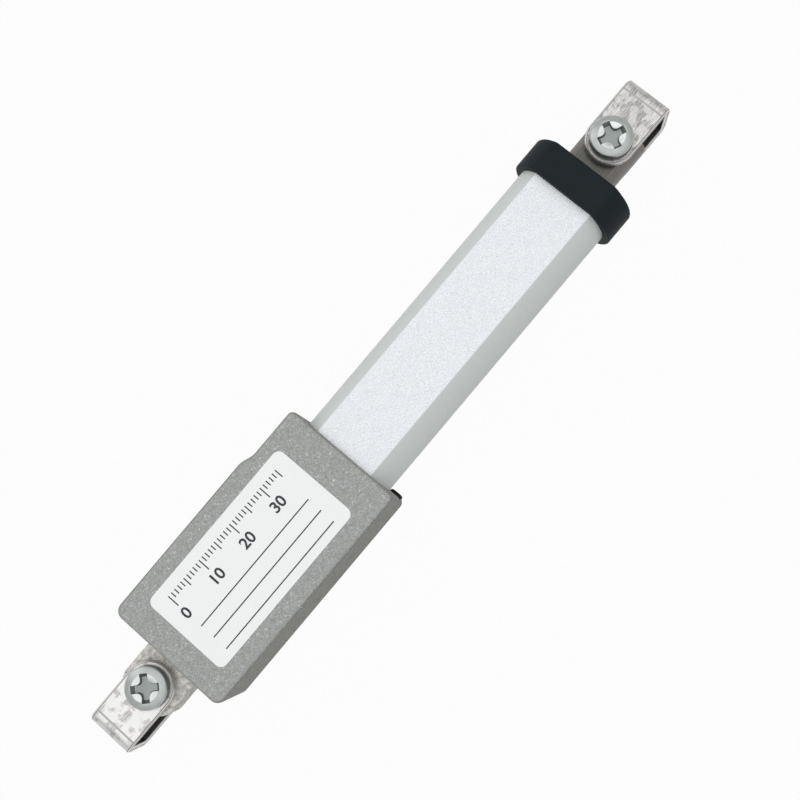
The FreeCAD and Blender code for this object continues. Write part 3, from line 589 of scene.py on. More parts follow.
def double_d(name, start, end, radius, flat, edge_radius=0.0):
    """A round bar along X with a flat above and below, and its long edges rounded."""
    def beside_flat(edge):
        return runs_along(edge, 0) and abs(abs(edge.verts[0].co.z) - flat) < near

    piece = bar(name, (start, 0, 0), (end, 0, 0), radius, sides_for(radius, flat))
    shape(piece)
    for side in (1, -1):
        bpy.ops.mesh.select_all(action="SELECT")
        bpy.ops.mesh.bisect(plane_co=(0, 0, side * flat), plane_no=(0, 0, side), use_fill=True,
                            clear_outer=True, threshold=hair)
    if edge_radius:
        round_edges(piece, beside_flat, edge_radius, 4)
    leave()
    return piece


def round_ends(piece, stations, width, segments):
    """Round the rims of a piece in the planes x = station."""
    def on_rim(edge):
        return any(level_with(edge, 0, x) for x in stations) and edge.calc_face_angle(0) > rim_angle

    shape(piece)
    round_edges(piece, on_rim, width, segments, clamp_overlap=True)
    leave()


def make_tube():
    tube = double_d("tube_extrusion", tube_low.x, tube_high.x, tube_high.y, tube_high.z, tube_edge_radius)
    cut(tube, double_d("tube_bore", tube_low.x - past, tube_high.x + past, tube_high.y - tube_wall,
                       tube_high.z - tube_wall))
    round_ends(tube, (tube_low.x, tube_high.x), tube_end_radius, 2)
    return tube


tube = make_tube()
dress(tube, "anodised_tube", "housing", "outer_tube")

# %% [markdown]
# The end cap slips over the tube. It starts as a larger double D, its front rim and long edges are rounded
# as a moulding's are, and three cuts hollow it: the socket for the tube, the way for the rod and, at the
# front, the seat of the rod's wiper.

# %% End cap
cap_low, cap_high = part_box("end_cap")
rod_low, rod_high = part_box("rod_tube")
wiper_low, wiper_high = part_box("rod_wiper")
cap_edge_radius = 0.7 * mm
cap_front_radius = 0.8 * mm
cap_rear_radius = 0.3 * mm
fit_gap = 0.05 * mm
running_gap = 0.24 * mm


def make_cap():
    cap = double_d("end_cap_moulding", cap_low.x, cap_high.x, cap_high.y, cap_high.z, cap_edge_radius)
    round_ends(cap, (cap_high.x,), cap_front_radius, 5)
    round_ends(cap, (cap_low.x,), cap_rear_radius, 3)
    cut(cap,
        double_d("cap_socket", cap_low.x - past, tube_high.x, tube_high.y + fit_gap, tube_high.z + fit_gap),
        double_d("cap_way", tube_high.x - past, cap_high.x + past, rod_high.y + running_gap,
                 rod_high.z + running_gap),
        double_d("cap_seat", wiper_low.x, cap_high.x + past, wiper_high.y, wiper_high.z))
    smooth(cap)
    return cap


dress(make_cap(), "black_moulding", "housing", "end_cap")

# %% [markdown]
# The rod is the same section in solid bar, with a chamfered tip, a long bore that swallows the screw and a
# cross hole for the pivot screw.

# %% Rod
screw_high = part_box("lead_screw")[1]
front_nut_low, front_nut_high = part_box("front_pivot_nut")
rear_nut_low, rear_nut_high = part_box("rear_pivot_nut")
front_pivot = (front_nut_low.x + front_nut_high.x) / 2
rear_pivot = (rear_nut_low.x + rear_nut_high.x) / 2
pivot_hole_radius = 2.6 * mm
rod_edge_radius = 0.3 * mm
rod_tip_radius = 0.5 * mm
rod_bore_radius = 3.6 * mm
bore_spare = 3 * mm


def make_rod():
    rod = double_d("sliding_rod", rod_low.x, rod_high.x, rod_high.y, rod_high.z, rod_edge_radius)
    round_ends(rod, (rod_high.x,), rod_tip_radius, 2)
    cut(rod,
        bar("rod_bore", (rod_low.x - past, 0, 0), (screw_high.x + bore_spare, 0, 0), rod_bore_radius),
        bar("rod_eye", (front_pivot, 0, -rod_high.y), (front_pivot, 0, rod_high.y), pivot_hole_radius))
    smooth(rod)
    return rod


dress(make_rod(), "rod_alloy", "rod", "rod_tube")

# %% [markdown]
# ## The cast housing
# The housing is one die casting: a box with a long bulge down its left side, a lug at the rear and a
# collar in front that holds the tube. It could be joined from several solids, but then the soft radii of a
# casting would have to be added to every seam. Modelled as one box, cut into bands, pushed, extruded and
# bevelled, it gets those radii from the bevels alone. First comes the box with its bulge.

# %% Housing block
housing_low, housing_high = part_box("gear_housing")
housing_rear = 21.5 * mm
bulge = 1.1 * mm
bulge_front = housing_high.x - 12.2 * mm
bulge_length = 4.5 * mm
bulge_rear = bulge_front - bulge_length
blend_steps = 8
half_width = -housing_low.y
rear_corner_radius = 2.2 * mm
front_corner_radius = 1.4 * mm
top_radius = 1.1 * mm
bottom_radius = 0.7 * mm


def block(name, low, high):
    """A box between two corners."""
    low, high = Vector(low), Vector(high)
    deselect()
    bpy.ops.mesh.primitive_cube_add(size=1, location=(low + high) / 2, scale=high - low)
    return fresh(name)


def ease(share):
    """A smooth step from 0 to 1."""
    return share * share * (3 - 2 * share)


def score(axis, station):
    """Cut the selected faces along a plane across one axis."""
    place = [0, 0, 0]
    normal = [0, 0, 0]
    place[axis] = station
    normal[axis] = 1
    bpy.ops.mesh.bisect(plane_co=place, plane_no=normal, threshold=hair)


def push_out_bulge(casting):
    """Move the left wall out behind the step, along a smooth S."""
    stations = [bulge_rear + bulge_length * step / blend_steps for step in range(blend_steps + 1)]
    for station in stations:
        bpy.ops.mesh.select_all(action="SELECT")
        score(0, station)
    pick(casting, "VERT", lambda corner: corner.co.y > 0 and corner.co.x < bulge_rear - near)
    bpy.ops.transform.translate(value=(0, bulge, 0))
    for step, station in enumerate(stations):
        pick(casting, "VERT", lambda corner: corner.co.y > 0 and abs(corner.co.x - station) < near)
        bpy.ops.transform.translate(value=(0, bulge * (1 - ease(step / blend_steps)), 0))
    pick(casting, "EDGE", lambda edge: any(level_with(edge, 0, station) for station in stations)
         and min(end.y for end in ends(edge)) < 0)
    bpy.ops.mesh.dissolve_edges(use_verts=True)


def is_corner(edge, station):
    """An upright edge at a corner of the box, at its rear or its front."""
    y = edge.verts[0].co.y
    at_side = min(abs(y + half_width), abs(y - half_width), abs(y - half_width - bulge)) < near
    return runs_along(edge, 2) and level_with(edge, 0, station) and at_side


def is_rim(edge, level):
    """An edge where a flat top or bottom meets a wall."""
    slopes = sorted(abs(face.normal.z) for face in edge.link_faces)
    return level_with(edge, 2, level) and len(slopes) == 2 and slopes[0] < 0.1 and slopes[1] > 0.9


def make_casting():
    casting = block("gear_housing_casting", (housing_rear, -half_width, housing_low.z),
                    (housing_high.x, half_width, housing_high.z))
    shape(casting)
    push_out_bulge(casting)
    for station, radius in ((housing_rear, rear_corner_radius), (housing_high.x, front_corner_radius)):
        round_edges(casting, lambda edge: is_corner(edge, station), radius, 8)
    round_edges(casting, lambda edge: is_rim(edge, housing_high.z), top_radius, 7)
    round_edges(casting, lambda edge: is_rim(edge, housing_low.z), bottom_radius, 3)
    leave()
    return casting


casting = make_casting()
print("box faces:", len(casting.data.polygons))

# %% [markdown]
# The lug is drawn out of the rear wall. Its outline is cut into that wall, the face inside it is extruded,
# and three bevels round it: its end in plan, its rims, and the hollow corner at its root.

# %% Rear lug
lug_half_width = 6.8 * mm
lug_half_height = 4.6 * mm
lug_end_radius = 3.6 * mm
lug_rim_radius = 0.7 * mm
lug_root_radius = 0.5 * mm
wall_margin = 3 * mm


def push(x=0.0, z=0.0):
    bpy.ops.mesh.extrude_region_move(TRANSFORM_OT_translate={"value": (x, 0, z)})


def on_rear_wall(face):
    return abs(face.calc_center_median().x - housing_rear) < near and face.normal.x < -0.99


def in_lug(face):
    middle = face.calc_center_median()
    return on_rear_wall(face) and abs(middle.y) < lug_half_width and abs(middle.z) < lug_half_height


def is_lug_corner(edge):
    at_side = abs(abs(edge.verts[0].co.y) - lug_half_width) < near
    return at_side and runs_along(edge, 2) and level_with(edge, 0, housing_low.x)


def is_lug_rim(edge):
    behind_wall = min(end.x for end in ends(edge)) < housing_rear - near
    return behind_wall and (is_rim(edge, lug_half_height) or is_rim(edge, -lug_half_height))


def at_lug_root(edge):
    """An edge of the hollow corner where the lug leaves the rear wall."""
    beside_lug = max(abs(end.y) for end in ends(edge)) < half_width - wall_margin
    on_lug = any(abs(face.normal.x) < 0.1 for face in edge.link_faces)
    return beside_lug and on_lug and level_with(edge, 0, housing_rear)


def draw_out_lug(casting):
    """Cut the lug's outline into the rear wall, extrude it and round it."""
    shape(casting)
    for axis, half in ((1, lug_half_width), (2, lug_half_height)):
        for station in (-half, half):
            pick(casting, "FACE", on_rear_wall)
            score(axis, station)
    pick(casting, "FACE", in_lug)
    push(x=housing_low.x - housing_rear)
    round_edges(casting, is_lug_corner, lug_end_radius, 10)
    round_edges(casting, is_lug_rim, lug_rim_radius, 4)
    round_edges(casting, at_lug_root, lug_root_radius, 3)
    leave()


draw_out_lug(casting)
print("casting faces:", len(casting.data.polygons))

# %% [markdown]
# The casting is a tub: it is open below, where a flat cover is let in, and its front collar is bored for
# the tube. These cuts are plain blocks and bars, so booleans do them. What has to stand inside, four bosses
# for the cover's screws and two saddles that hold the motor and the gears, is cut out of the cutting block
# first. The places come from the pieces that fill them, with the small gaps of a real fit.

# %% Hollow the housing
cover_low, cover_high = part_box("base_cover")
ring_low, ring_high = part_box("ring_gear")
can_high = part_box("motor_can")[1]
bell_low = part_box("motor_end_bell")[0]
grommet_low, grommet_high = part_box("cable_grommet")
cover_screws_low, cover_screws_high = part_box("cover_screws")
cover_head = 1.9 * mm
cover_thread = 1.1 * mm
cover_gap = 0.1 * mm
cavity_half_width = 12.3 * mm
cavity_top = 8.9 * mm
cavity_rear = housing_rear + 2.4 * mm
boss_radius = 1.7 * mm
saddle_half_thickness = 1.0 * mm
cable_hole_radius = 1.35 * mm
cable_groove = 4.0 * mm
cable_y = (grommet_low.y + grommet_high.y) / 2
cable_z = (grommet_low.z + grommet_high.z) / 2
thread_sides = 32
small_sides = 48
eye_sides = 64


def places_in(low, high, head):
    """The middles of round heads at the corners of a box, or in its row, to a hundredth of a millimetre."""
    along = {round(x, 5) for x in (low.x + head, high.x - head)}
    across = {round(y, 5) for y in (low.y + head, high.y - head)}
    return sorted((x, y) for x in along for y in across)


cover_places = places_in(cover_screws_low, cover_screws_high, cover_head)


def saddle(middle, radius):
    """A rib across the room with a round seat that is open below."""
    rear, front = middle - saddle_half_thickness, middle + saddle_half_thickness
    side = cavity_half_width + past
    rib = block("saddle", (rear, -side, cover_low.z), (front, side, cavity_top + past))
    seat = radius + fit_gap
    cut(rib,
        block("saddle_mouth", (rear - past, -seat, cover_low.z - past), (front + past, seat, 0)),
        bar("saddle_seat", (rear - past, 0, 0), (front + past, 0, 0), seat))
    return rib


def room_tool():
    """The room inside, less the bosses and saddles that are left standing in it."""
    room = block("cavity", (cavity_rear, -cavity_half_width, cover_high.z - past),
                 (ring_high.x, cavity_half_width, cavity_top))
    for x, y in cover_places:
        cut(room, bar("boss", (x, y, cover_low.z), (x, y, cavity_top + past), boss_radius, small_sides))
    cut(room,
        saddle((bell_low.x + can_high.x) / 2, can_high.y),
        saddle((ring_low.x + ring_high.x) / 2, ring_high.y))
    return room


def hollow(casting):
    gap = Vector((cover_gap, cover_gap, 0))
    eye_reach = lug_half_height + past
    cut(casting,
        room_tool(),
        block("cover_seat", cover_low - gap - Vector((0, 0, past)), cover_high + gap),
        double_d("collar_bore", ring_high.x - past, housing_high.x + past, tube_high.y + fit_gap,
                 tube_high.z + fit_gap),
        bar("cable_hole", (ring_high.x - cable_groove, cable_y, cable_z),
            (housing_high.x + past, cable_y, cable_z), cable_hole_radius, small_sides),
        bar("lug_eye", (rear_pivot, 0, -eye_reach), (rear_pivot, 0, eye_reach), pivot_hole_radius, eye_sides))
    for x, y in cover_places:
        cut(casting, bar("boss_hole", (x, y, cover_low.z), (x, y, cover_screws_high.z), cover_thread,
                         thread_sides))


hollow(casting)
print("hollowed faces:", len(casting.data.polygons))

# %% [markdown]
# ## The brackets
# Each bracket is a strip of sheet bent into a U. That is also how it is modelled: one flat ear, then the
# strip's edge is spun round the bend, pushed on, spun again and pushed back. The ears get their round ends
# from wide bevels of their corners, and the press tool leaves a shallow crease just short of the upper bend.

# %% Fold the strip
bracket_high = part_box("rear_bracket")[1]
bracket_finishes = ("bracket_steel", "bracket_painted_inside_shade", "bracket_edge", "bracket_painted_shade_line", "bracket_painted_crease_shade")
sheet = 1.5 * mm
bend_radius = 2.5 * mm
bend_steps = 8
ear_radius = bracket_high.y
ear_rounding = 0.995
bracket_half_height = bracket_high.z
bend = rear_pivot - bend_radius
crease_depth = 0.03 * mm
crease_half_width = 0.22 * mm
crease_station = bend - 0.5 * mm


def lay_out_ear(name):
    """A flat ear, as it would be cut from the strip, scored where the crease will be."""
    middle = ((bend - ear_radius) / 2, 0, bracket_half_height)
    deselect()
    bpy.ops.mesh.primitive_plane_add(size=1, location=middle)
    ear = fresh(name)
    shape(ear)
    bpy.ops.transform.resize(value=(bend + ear_radius, 2 * ear_radius, 1), center_override=middle)
    score(0, crease_station)
    leave()
    return ear


def fold_strip(bracket):
    """Turn the strip's edge round two bends and carry it back as the second ear."""
    bend_level = bracket_half_height - bend_radius
    quarter = {"steps": bend_steps, "angle": half_turn / 2, "axis": (0, -1, 0)}
    pick(bracket, "EDGE", lambda edge: level_with(edge, 0, bend))
    bpy.ops.mesh.spin(center=(bend, 0, bend_level), **quarter)
    push(z=-2 * bend_level)
    bpy.ops.mesh.spin(center=(bend, 0, -bend_level), **quarter)
    push(x=-bend - ear_radius)
    bpy.ops.mesh.select_all(action="SELECT")
    bpy.ops.mesh.remove_doubles(threshold=near)
    bpy.ops.mesh.normals_make_consistent(inside=False)


def slot_of(piece, name):
    """The place of a finish among a piece's material slots."""
    return piece.data.materials.find(finishes[name].name)


def coat_selected(piece, name):
    """In edit mode, give the selected faces one of the piece's finishes."""
    piece.active_material_index = slot_of(piece, name)
    bpy.ops.object.material_slot_assign()


def press_crease(bracket):
    """Press the shallow groove that the tool leaves just short of the upper bend, and darken it with painted
    shade.
    """
    round_edges(bracket, lambda edge: level_with(edge, 0, crease_station), crease_half_width, 2)
    coat_selected(bracket, "bracket_painted_crease_shade")
    pick(bracket, "VERT", lambda corner: abs(corner.co.x - crease_station) < crease_half_width / 2)
    bpy.ops.transform.translate(value=(0, 0, -crease_depth))


def make_strip(name):
    """A folded strip about its pivot at the origin, with its closed end towards +X."""
    strip = lay_out_ear(name)
    coat(strip, *bracket_finishes)
    shape(strip)
    fold_strip(strip)
    press_crease(strip)
    pick(strip, "VERT", lambda corner: abs(corner.co.x + ear_radius) < near)
    bpy.ops.mesh.bevel(offset=ear_radius * ear_rounding, segments=16, affect="VERTICES")
    leave()
    return strip


front_strap = make_strip("front_bracket_strap")
print("strip faces:", len(front_strap.data.polygons))

# %% [markdown]
# The strip is still without thickness. A Solidify modifier gives it the thickness of the sheet, inwards,
# and two bars drill it. Two bevels, one after the other, break the edges and then ease the two corners of
# the break. The rear bracket is a copy that is turned about.

# %% Thicken and fit the brackets
base_hole_radius = 2.6 * mm
broken_edge = 0.4 * mm
edge_line = 0.1 * mm


def break_edges(piece, width, angle, segments=2, **settings):
    """Bevel every edge that turns by more than an angle in degrees."""
    finish_with(piece, "BEVEL", width=width, segments=segments, limit_method="ANGLE",
                angle_limit=math.radians(angle), **settings)


def thicken(bracket):
    """Give a folded strip its thickness, its holes and its broken edges."""
    # The inner faces are painted near black: painted shade.
    finish_with(bracket, "SOLIDIFY", thickness=sheet, offset=-1, use_even_offset=True,
                material_offset=slot_of(bracket, "bracket_painted_inside_shade"))
    reach = bracket_half_height + past
    cut(bracket,
        bar("pivot_hole", (0, 0, -reach), (0, 0, reach), pivot_hole_radius, eye_sides),
        bar("base_hole", (bend, 0, 0), (rear_pivot + past, 0, 0), base_hole_radius, eye_sides))
    break_edges(bracket, broken_edge, 50, 1, use_clamp_overlap=False,
                material=slot_of(bracket, "bracket_edge"))
    # The second bevel's narrow faces are painted dark: painted shade along each broken edge.
    break_edges(bracket, edge_line, 35, 2, use_clamp_overlap=False,
                material=slot_of(bracket, "bracket_painted_shade_line"))
    smooth(bracket, 40)


def copy_of(piece, name):
    """A copy with a mesh of its own."""
    only(piece)
    bpy.ops.object.duplicate(linked=False)
    return fresh(name)


def settle(piece, place, turn=(0, 0, 0)):
    """Turn a finished piece, carry it to its place, and keep both in its mesh."""
    piece.rotation_euler = turn
    piece.location = place
    bake(piece)


def fit_pair(front, rear_name, slot, node, front_turn=0.0, rear_turn=0.0):
    """Copy a front piece for the rear, then set each at its pivot and dress it."""
    rear = copy_of(front, rear_name)
    for end, piece, pivot, turn in (("front_", front, front_pivot, front_turn),
                                    ("rear_", rear, rear_pivot, rear_turn)):
        settle(piece, (pivot, 0, 0), (0, 0, turn))
        dress(piece, slot, end + "bracket", end + node)


thicken(front_strap)
fit_pair(front_strap, "rear_bracket_strap", "bracket_steel", "bracket", rear_turn=half_turn)

# %% [markdown]
# ## Screws and nuts
# Screws and nuts are turned on a lathe, so they are modelled in the same way. A single vertex is drawn out
# into a profile, edge by edge, and the profile is spun about its axis. The cross recess is a tool of its
# own: two crossed blocks, eased in their inner corners and narrowed downwards, that are cut out of the head.

# %% Lathe and cross recess
struck_finishes = ("plated_steel", "punched_painted_highlight", "recess_painted_shade", "rim_painted_shade")


def turned(name, profile, steps=64):
    """A round piece about Z from a profile of (radius, height) points that starts and ends on the axis."""
    deselect()
    bpy.ops.mesh.primitive_plane_add(size=mm)
    piece = fresh(name)
    shape(piece)
    bpy.ops.mesh.merge(type="CENTER")
    bpy.ops.transform.translate(value=(profile[0][0], 0, profile[0][1]))
    for (radius, height), (next_radius, next_height) in zip(profile, profile[1:]):
        step = (next_radius - radius, 0, next_height - height)
        bpy.ops.mesh.extrude_vertices_move(TRANSFORM_OT_translate={"value": step})
    bpy.ops.mesh.select_all(action="SELECT")
    bpy.ops.mesh.spin(steps=steps, angle=2 * half_turn, center=(0, 0, 0), axis=(0, 0, 1))
    bpy.ops.mesh.select_all(action="SELECT")
    bpy.ops.mesh.remove_doubles(threshold=near / 5)
    bpy.ops.mesh.normals_make_consistent(inside=False)
    leave()
    return piece


def arc(radius, middle, start, end, steps):
    """Points of a profile along a round, at angles from the flat, about a (radius, height) middle."""
    angles = [start + (end - start) * step / steps for step in range(steps + 1)]
    return [(middle[0] + radius * math.cos(angle), middle[1] + radius * math.sin(angle)) for angle in angles]


def narrow_foot(tool, bottom, share):
    """In edit mode, draw in the lower end of a tool, so that it tapers."""
    pick(tool, "VERT", lambda corner: abs(corner.co.z - bottom) < near)
    bpy.ops.transform.resize(value=(share, share, 1), center_override=(0, 0, bottom))


def paint(tool, name):
    """Give all faces of a tool one of the finishes of the screw that it will cut."""
    coat(tool, *struck_finishes)
    for face in tool.data.polygons:
        face.material_index = slot_of(tool, name)


def cross_tool(top, bottom, span, arm, taper, eased):
    """A cross that narrows downwards, with its inner corners eased, for cutting a cross recess."""
    half = span / 2
    side = arm / 2

    def in_corner(edge):
        x, y = edge.verts[0].co.xy
        return runs_along(edge, 2) and abs(abs(x) - side) < near and abs(abs(y) - side) < near

    tool = block("recess_arm", (-half, -side, bottom), (half, side, top))
    cut(tool, block("recess_cross_arm", (-side, -half, bottom), (side, half, top)), operation="UNION")
    shape(tool)
    bpy.ops.mesh.remove_doubles(threshold=near)
    bpy.ops.mesh.dissolve_limited(angle_limit=math.radians(1))
    round_edges(tool, in_corner, arm * eased, 6)
    narrow_foot(tool, bottom, taper)
    leave()
    # The recess faces are painted darker: painted shade.
    paint(tool, "recess_painted_shade")
    return tool


# %% [markdown]
# A pan head has an upright rim and a shoulder that rolls over into a shallow dome. The dome leaves the
# shoulder at the same slope, so no ring shows where they meet. Between the arms of the cross the punch
# leaves sloping facets: a shallow funnel cuts them and paints them lighter, a painted highlight.

# %% Pivot screws
shank_low, head_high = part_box("rear_pivot_screw")
head_radius = head_high.y
head_chamfer = 0.15 * mm
shank_radius = 2.5 * mm
shank_chamfer = 0.3 * mm
shoulder = 0.7 * mm
dome_slope = math.radians(25)
recess_above = 0.5 * mm
recess_depth = 1.7 * mm
recess_span = 7.7 * mm
recess_arm = 2.1 * mm
recess_taper = 0.62
recess_easing = 0.75
funnel_depth = 1.0 * mm
funnel_wide = 6.6 * mm
funnel_narrow = 0.8 * mm
struck_edge = 0.1 * mm


def pan_profile():
    """An upright rim, a rolled shoulder, and a dome that leaves the shoulder at the same slope."""
    seat = bracket_half_height
    dome_edge = head_radius - shoulder * (1 - math.sin(dome_slope))
    dome = dome_edge / math.sin(dome_slope)
    rim_top = head_high.z - dome * (1 - math.cos(dome_slope)) - shoulder * math.cos(dome_slope)
    upright = half_turn / 2
    rolled = arc(shoulder, (head_radius - shoulder, rim_top), 0, upright - dome_slope, 5)
    domed = arc(dome, (0, head_high.z - dome), upright - dome_slope, upright, 7)
    return [(0, shank_low.z), (shank_radius - shank_chamfer, shank_low.z),
            (shank_radius, shank_low.z + shank_chamfer), (shank_radius, seat),
            (head_radius - head_chamfer, seat), (head_radius, seat + head_chamfer), *rolled, *domed[1:]]


def funnel_tool(top, bottom):
    """A shallow funnel for the sloping facets that the punch leaves between the arms of the cross, painted
    light as a painted highlight.
    """
    tool = bar("recess_funnel", (0, 0, bottom), (0, 0, top), funnel_wide)
    shape(tool)
    narrow_foot(tool, bottom, funnel_narrow / funnel_wide)
    leave()
    paint(tool, "punched_painted_highlight")
    return tool


def weld(piece):
    """Merge points that lie on top of each other and clear away faces without area."""
    shape(piece)
    bpy.ops.mesh.remove_doubles(threshold=hair)
    bpy.ops.mesh.dissolve_degenerate(threshold=hair)
    leave()


def on_head_rim(face):
    """A face of the upright rim, or of the corner below it."""
    middle = face.calc_center_median()
    outside = middle.xy.length > head_radius - shoulder
    return outside and middle.z > bracket_half_height - near and face.normal.z < 0.3


def make_pan_screw(name):
    screw = turned(name, pan_profile())
    coat(screw, *struck_finishes)
    top = head_high.z + recess_above
    cut(screw,
        cross_tool(top, head_high.z - recess_depth, recess_span, recess_arm, recess_taper, recess_easing),
        funnel_tool(top, head_high.z - funnel_depth))
    weld(screw)
    # The struck edges are painted bright: painted highlight.
    break_edges(screw, struck_edge, 30, material=slot_of(screw, "punched_painted_highlight"))
    shape(screw)
    # The upright rim is painted dark: painted shade.
    pick(screw, "FACE", on_head_rim)
    coat_selected(screw, "rim_painted_shade")
    leave()
    smooth(screw, 30)
    return screw


fit_pair(make_pan_screw("front_pan_screw"), "rear_pan_screw", "plated_steel", "pivot_screw",
         math.radians(65), math.radians(48))

# %% [markdown]
# Six countersunk screws lie flush with the underside: four hold the cover and two clamp the tube in its
# collar. One is turned head up for each size, struck with a smaller cross, turned over and copied. The
# casting, the tube and the cover get the matching holes, and with those the casting is done: its walls
# take the darker copy of its finish, painted shade, picked by the way that they face.

# %% Countersunk screws
tube_screws_low, tube_screws_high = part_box("tube_screws")
tube_head = 2.2 * mm
tube_thread = 1.25 * mm
head_rim = 0.25 * mm
flat_recess_above = 0.2 * mm
flat_recess_depth = 1.1 * mm
flat_recess_span = 1.35
flat_recess_arm = 0.38
flat_recess_taper = 0.6
flat_recess_easing = 0.42
flat_edge = 0.05 * mm
wall_slope = 0.75


def flat_profile(head, thread, length, spare=0.0, above=0.0):
    """A flat head, a short rim, a 90 degree cone and a shank below it, all grown by a spare gap."""
    cone = head_rim + head - thread
    return [(0, above), (head + spare, above), (head + spare, -head_rim), (thread + spare, -cone),
            (thread + spare, shank_chamfer - length), (thread - shank_chamfer, -length - spare),
            (0, -length - spare)]


def turn_over(piece, place):
    """Lay a head-up piece upside down on the underside."""
    settle(piece, (*place, housing_low.z), (half_turn, 0, 0))


def join_up(pieces):
    """Join pieces into the first of them."""
    only(pieces[0])
    for piece in pieces:
        piece.select_set(True)
    bpy.ops.object.join()


def make_flat_screws(name, head, thread, length, places):
    """Equal countersunk screws in one piece. The recess is sized as shares of the head."""
    first = turned(name, flat_profile(head, thread, length), small_sides)
    coat(first, *struck_finishes)
    cut(first, cross_tool(flat_recess_above, -flat_recess_depth, flat_recess_span * head,
                          flat_recess_arm * head, flat_recess_taper, flat_recess_easing))
    weld(first)
    break_edges(first, flat_edge, 30)
    screws = [first] + [copy_of(first, name) for place in places[1:]]
    for screw, place in zip(screws, places):
        turn_over(screw, place)
    join_up(screws)
    smooth(first, 30)
    return first


def sink_heads(piece, head, thread, length, places):
    """Cut the holes for countersunk screws up into a piece."""
    for place in places:
        hole = turned("screw_hole", flat_profile(head, thread, length, fit_gap, past), small_sides)
        turn_over(hole, place)
        cut(piece, hole)


def coat_walls(casting):
    """Give the walls and the underside of the casting the darker copy of its finish, painted shade."""
    coat(casting, "cast_alloy", "cast_wall_painted_shade")
    shape(casting)
    pick(casting, "FACE", lambda face: face.normal.z < wall_slope)
    coat_selected(casting, "cast_wall_painted_shade")
    leave()


cover_screw = (cover_head, cover_thread, cover_screws_high.z - cover_screws_low.z, cover_places)
tube_places = places_in(tube_screws_low, tube_screws_high, tube_head)
tube_screw = (tube_head, tube_thread, tube_screws_high.z - tube_screws_low.z, tube_places)
dress(make_flat_screws("cover_screw_set", *cover_screw), "plated_steel", "housing", "cover_screws")
dress(make_flat_screws("tube_screw_pair", *tube_screw), "plated_steel", "housing", "tube_screws")
sink_heads(casting, *tube_screw)
sink_heads(tube, *tube_screw)
smooth(tube)
coat_walls(casting)
smooth(casting, 40)
dress(casting, "cast_alloy", "housing", "gear_housing")
print("flat screws:", len(cover_places) + len(tube_places))

# %% [markdown]
# The cover is a stamped plate with four countersinks and a softened rim. The cable's grommet is a rubber
# bush, turned like a screw but round an open bore, and laid along the drive axis.

# %% Cover and grommet
cover_corner_radius = 0.65 * mm
cover_rim_radius = 0.25 * mm
grommet_neck = 1.3 * mm
grommet_bore = 0.8 * mm
bore_chamfer = 0.1 * mm


def round_sheet(sheet_piece, rim_level, corner_radius, corner_segments, rim_radius, rim_segments):
    """Round the upright corners of a flat block and then the rim of one of its faces."""
    shape(sheet_piece)
    round_edges(sheet_piece, lambda edge: runs_along(edge, 2), corner_radius, corner_segments)
    round_edges(sheet_piece, lambda edge: is_rim(edge, rim_level), rim_radius, rim_segments)
    leave()


def make_cover():
    cover = block("cover_plate", cover_low, cover_high)
    round_sheet(cover, cover_low.z, cover_corner_radius, 6, cover_rim_radius, 3)
    sink_heads(cover, *cover_screw)
    smooth(cover)
    return cover


def make_grommet():
    lip = grommet_high.x - housing_high.x
    rim = (grommet_high.y - grommet_low.y) / 2
    tail = grommet_low.x - housing_high.x
    grommet = turned("rubber_grommet", [
        (grommet_bore, tail), (grommet_neck, tail), (grommet_neck, 0), (rim, 0),
        *arc(lip, (rim - lip, 0), 0, half_turn / 2, 6),
        (grommet_bore + bore_chamfer, lip), (grommet_bore, lip - bore_chamfer), (grommet_bore, tail),
    ], small_sides)
    settle(grommet, (housing_high.x, cable_y, cable_z), (0, half_turn / 2, 0))
    smooth(grommet)
    return grommet


dress(make_cover(), "cast_alloy", "housing", "base_cover")
dress(make_grommet(), "rubber", "housing", "cable_grommet")

# %% [markdown]
# A nut is a six-sided bar whose corners were turned off. Crossing the hexagon with a chamfered disc leaves
# the curved shoulders that every real nut has.

# %% Pivot nuts
nut_half_flat = 4.0 * mm
nut_corner_radius = 2 * nut_half_flat / math.sqrt(3)
nut_shoulder = 0.45 * mm
nut_face_inset = 0.1 * mm
nut_edge = 0.08 * mm


def make_nut(name):
    low, high = rear_nut_low.z, rear_nut_high.z
    nut = bar(name, (0, 0, low), (0, 0, high), nut_corner_radius, 6)
    settle(nut, (0, 0, 0), (0, 0, math.radians(30)))
    wide = nut_corner_radius + fit_gap
    narrow = nut_half_flat - nut_face_inset
    disc = turned("nut_disc", [(0, low), (narrow, low), (wide, low + nut_shoulder),
                               (wide, high - nut_shoulder), (narrow, high), (0, high)])
    cut(nut, disc, operation="INTERSECT")
    cut(nut, bar("nut_bore", (0, 0, low - past), (0, 0, high + past), shank_radius + fit_gap, eye_sides))
    break_edges(nut, nut_edge, 28)
    smooth(nut, 30)
    return nut


fit_pair(make_nut("front_hex_nut"), "rear_hex_nut", "plated_steel", "pivot_nut")

# %% [markdown]
# ## The label
# A white film is stuck on the top face. It carries nothing but a plain scale of millimetres, with numbers
# at each ten, and three ruled lines to write on. Ticks and lines are thin blocks and the numbers are text
# made into a mesh: printed ink, two hundredths of a millimetre thick.

# %% Label
label_low, label_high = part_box("label_plate")
label_corner = 1.7 * mm
film_edge = 0.04 * mm
ink_thickness = 0.02 * mm
film_top = label_high.z - ink_thickness
scale_length = 35
scale_start = (label_low.x + label_high.x) / 2 - scale_length / 2 * mm
scale_line = label_high.y - 2.6 * mm
tick_lengths = ((10, 3.0 * mm), (5, 2.2 * mm), (1, 1.4 * mm))
line_width = 0.27 * mm
number_size = 3.6 * mm
number_drop = 3.6 * mm
bold = 0.08 * mm
first_rule = label_low.y + 2.2 * mm
rule_step = 3.6 * mm
rules = 3


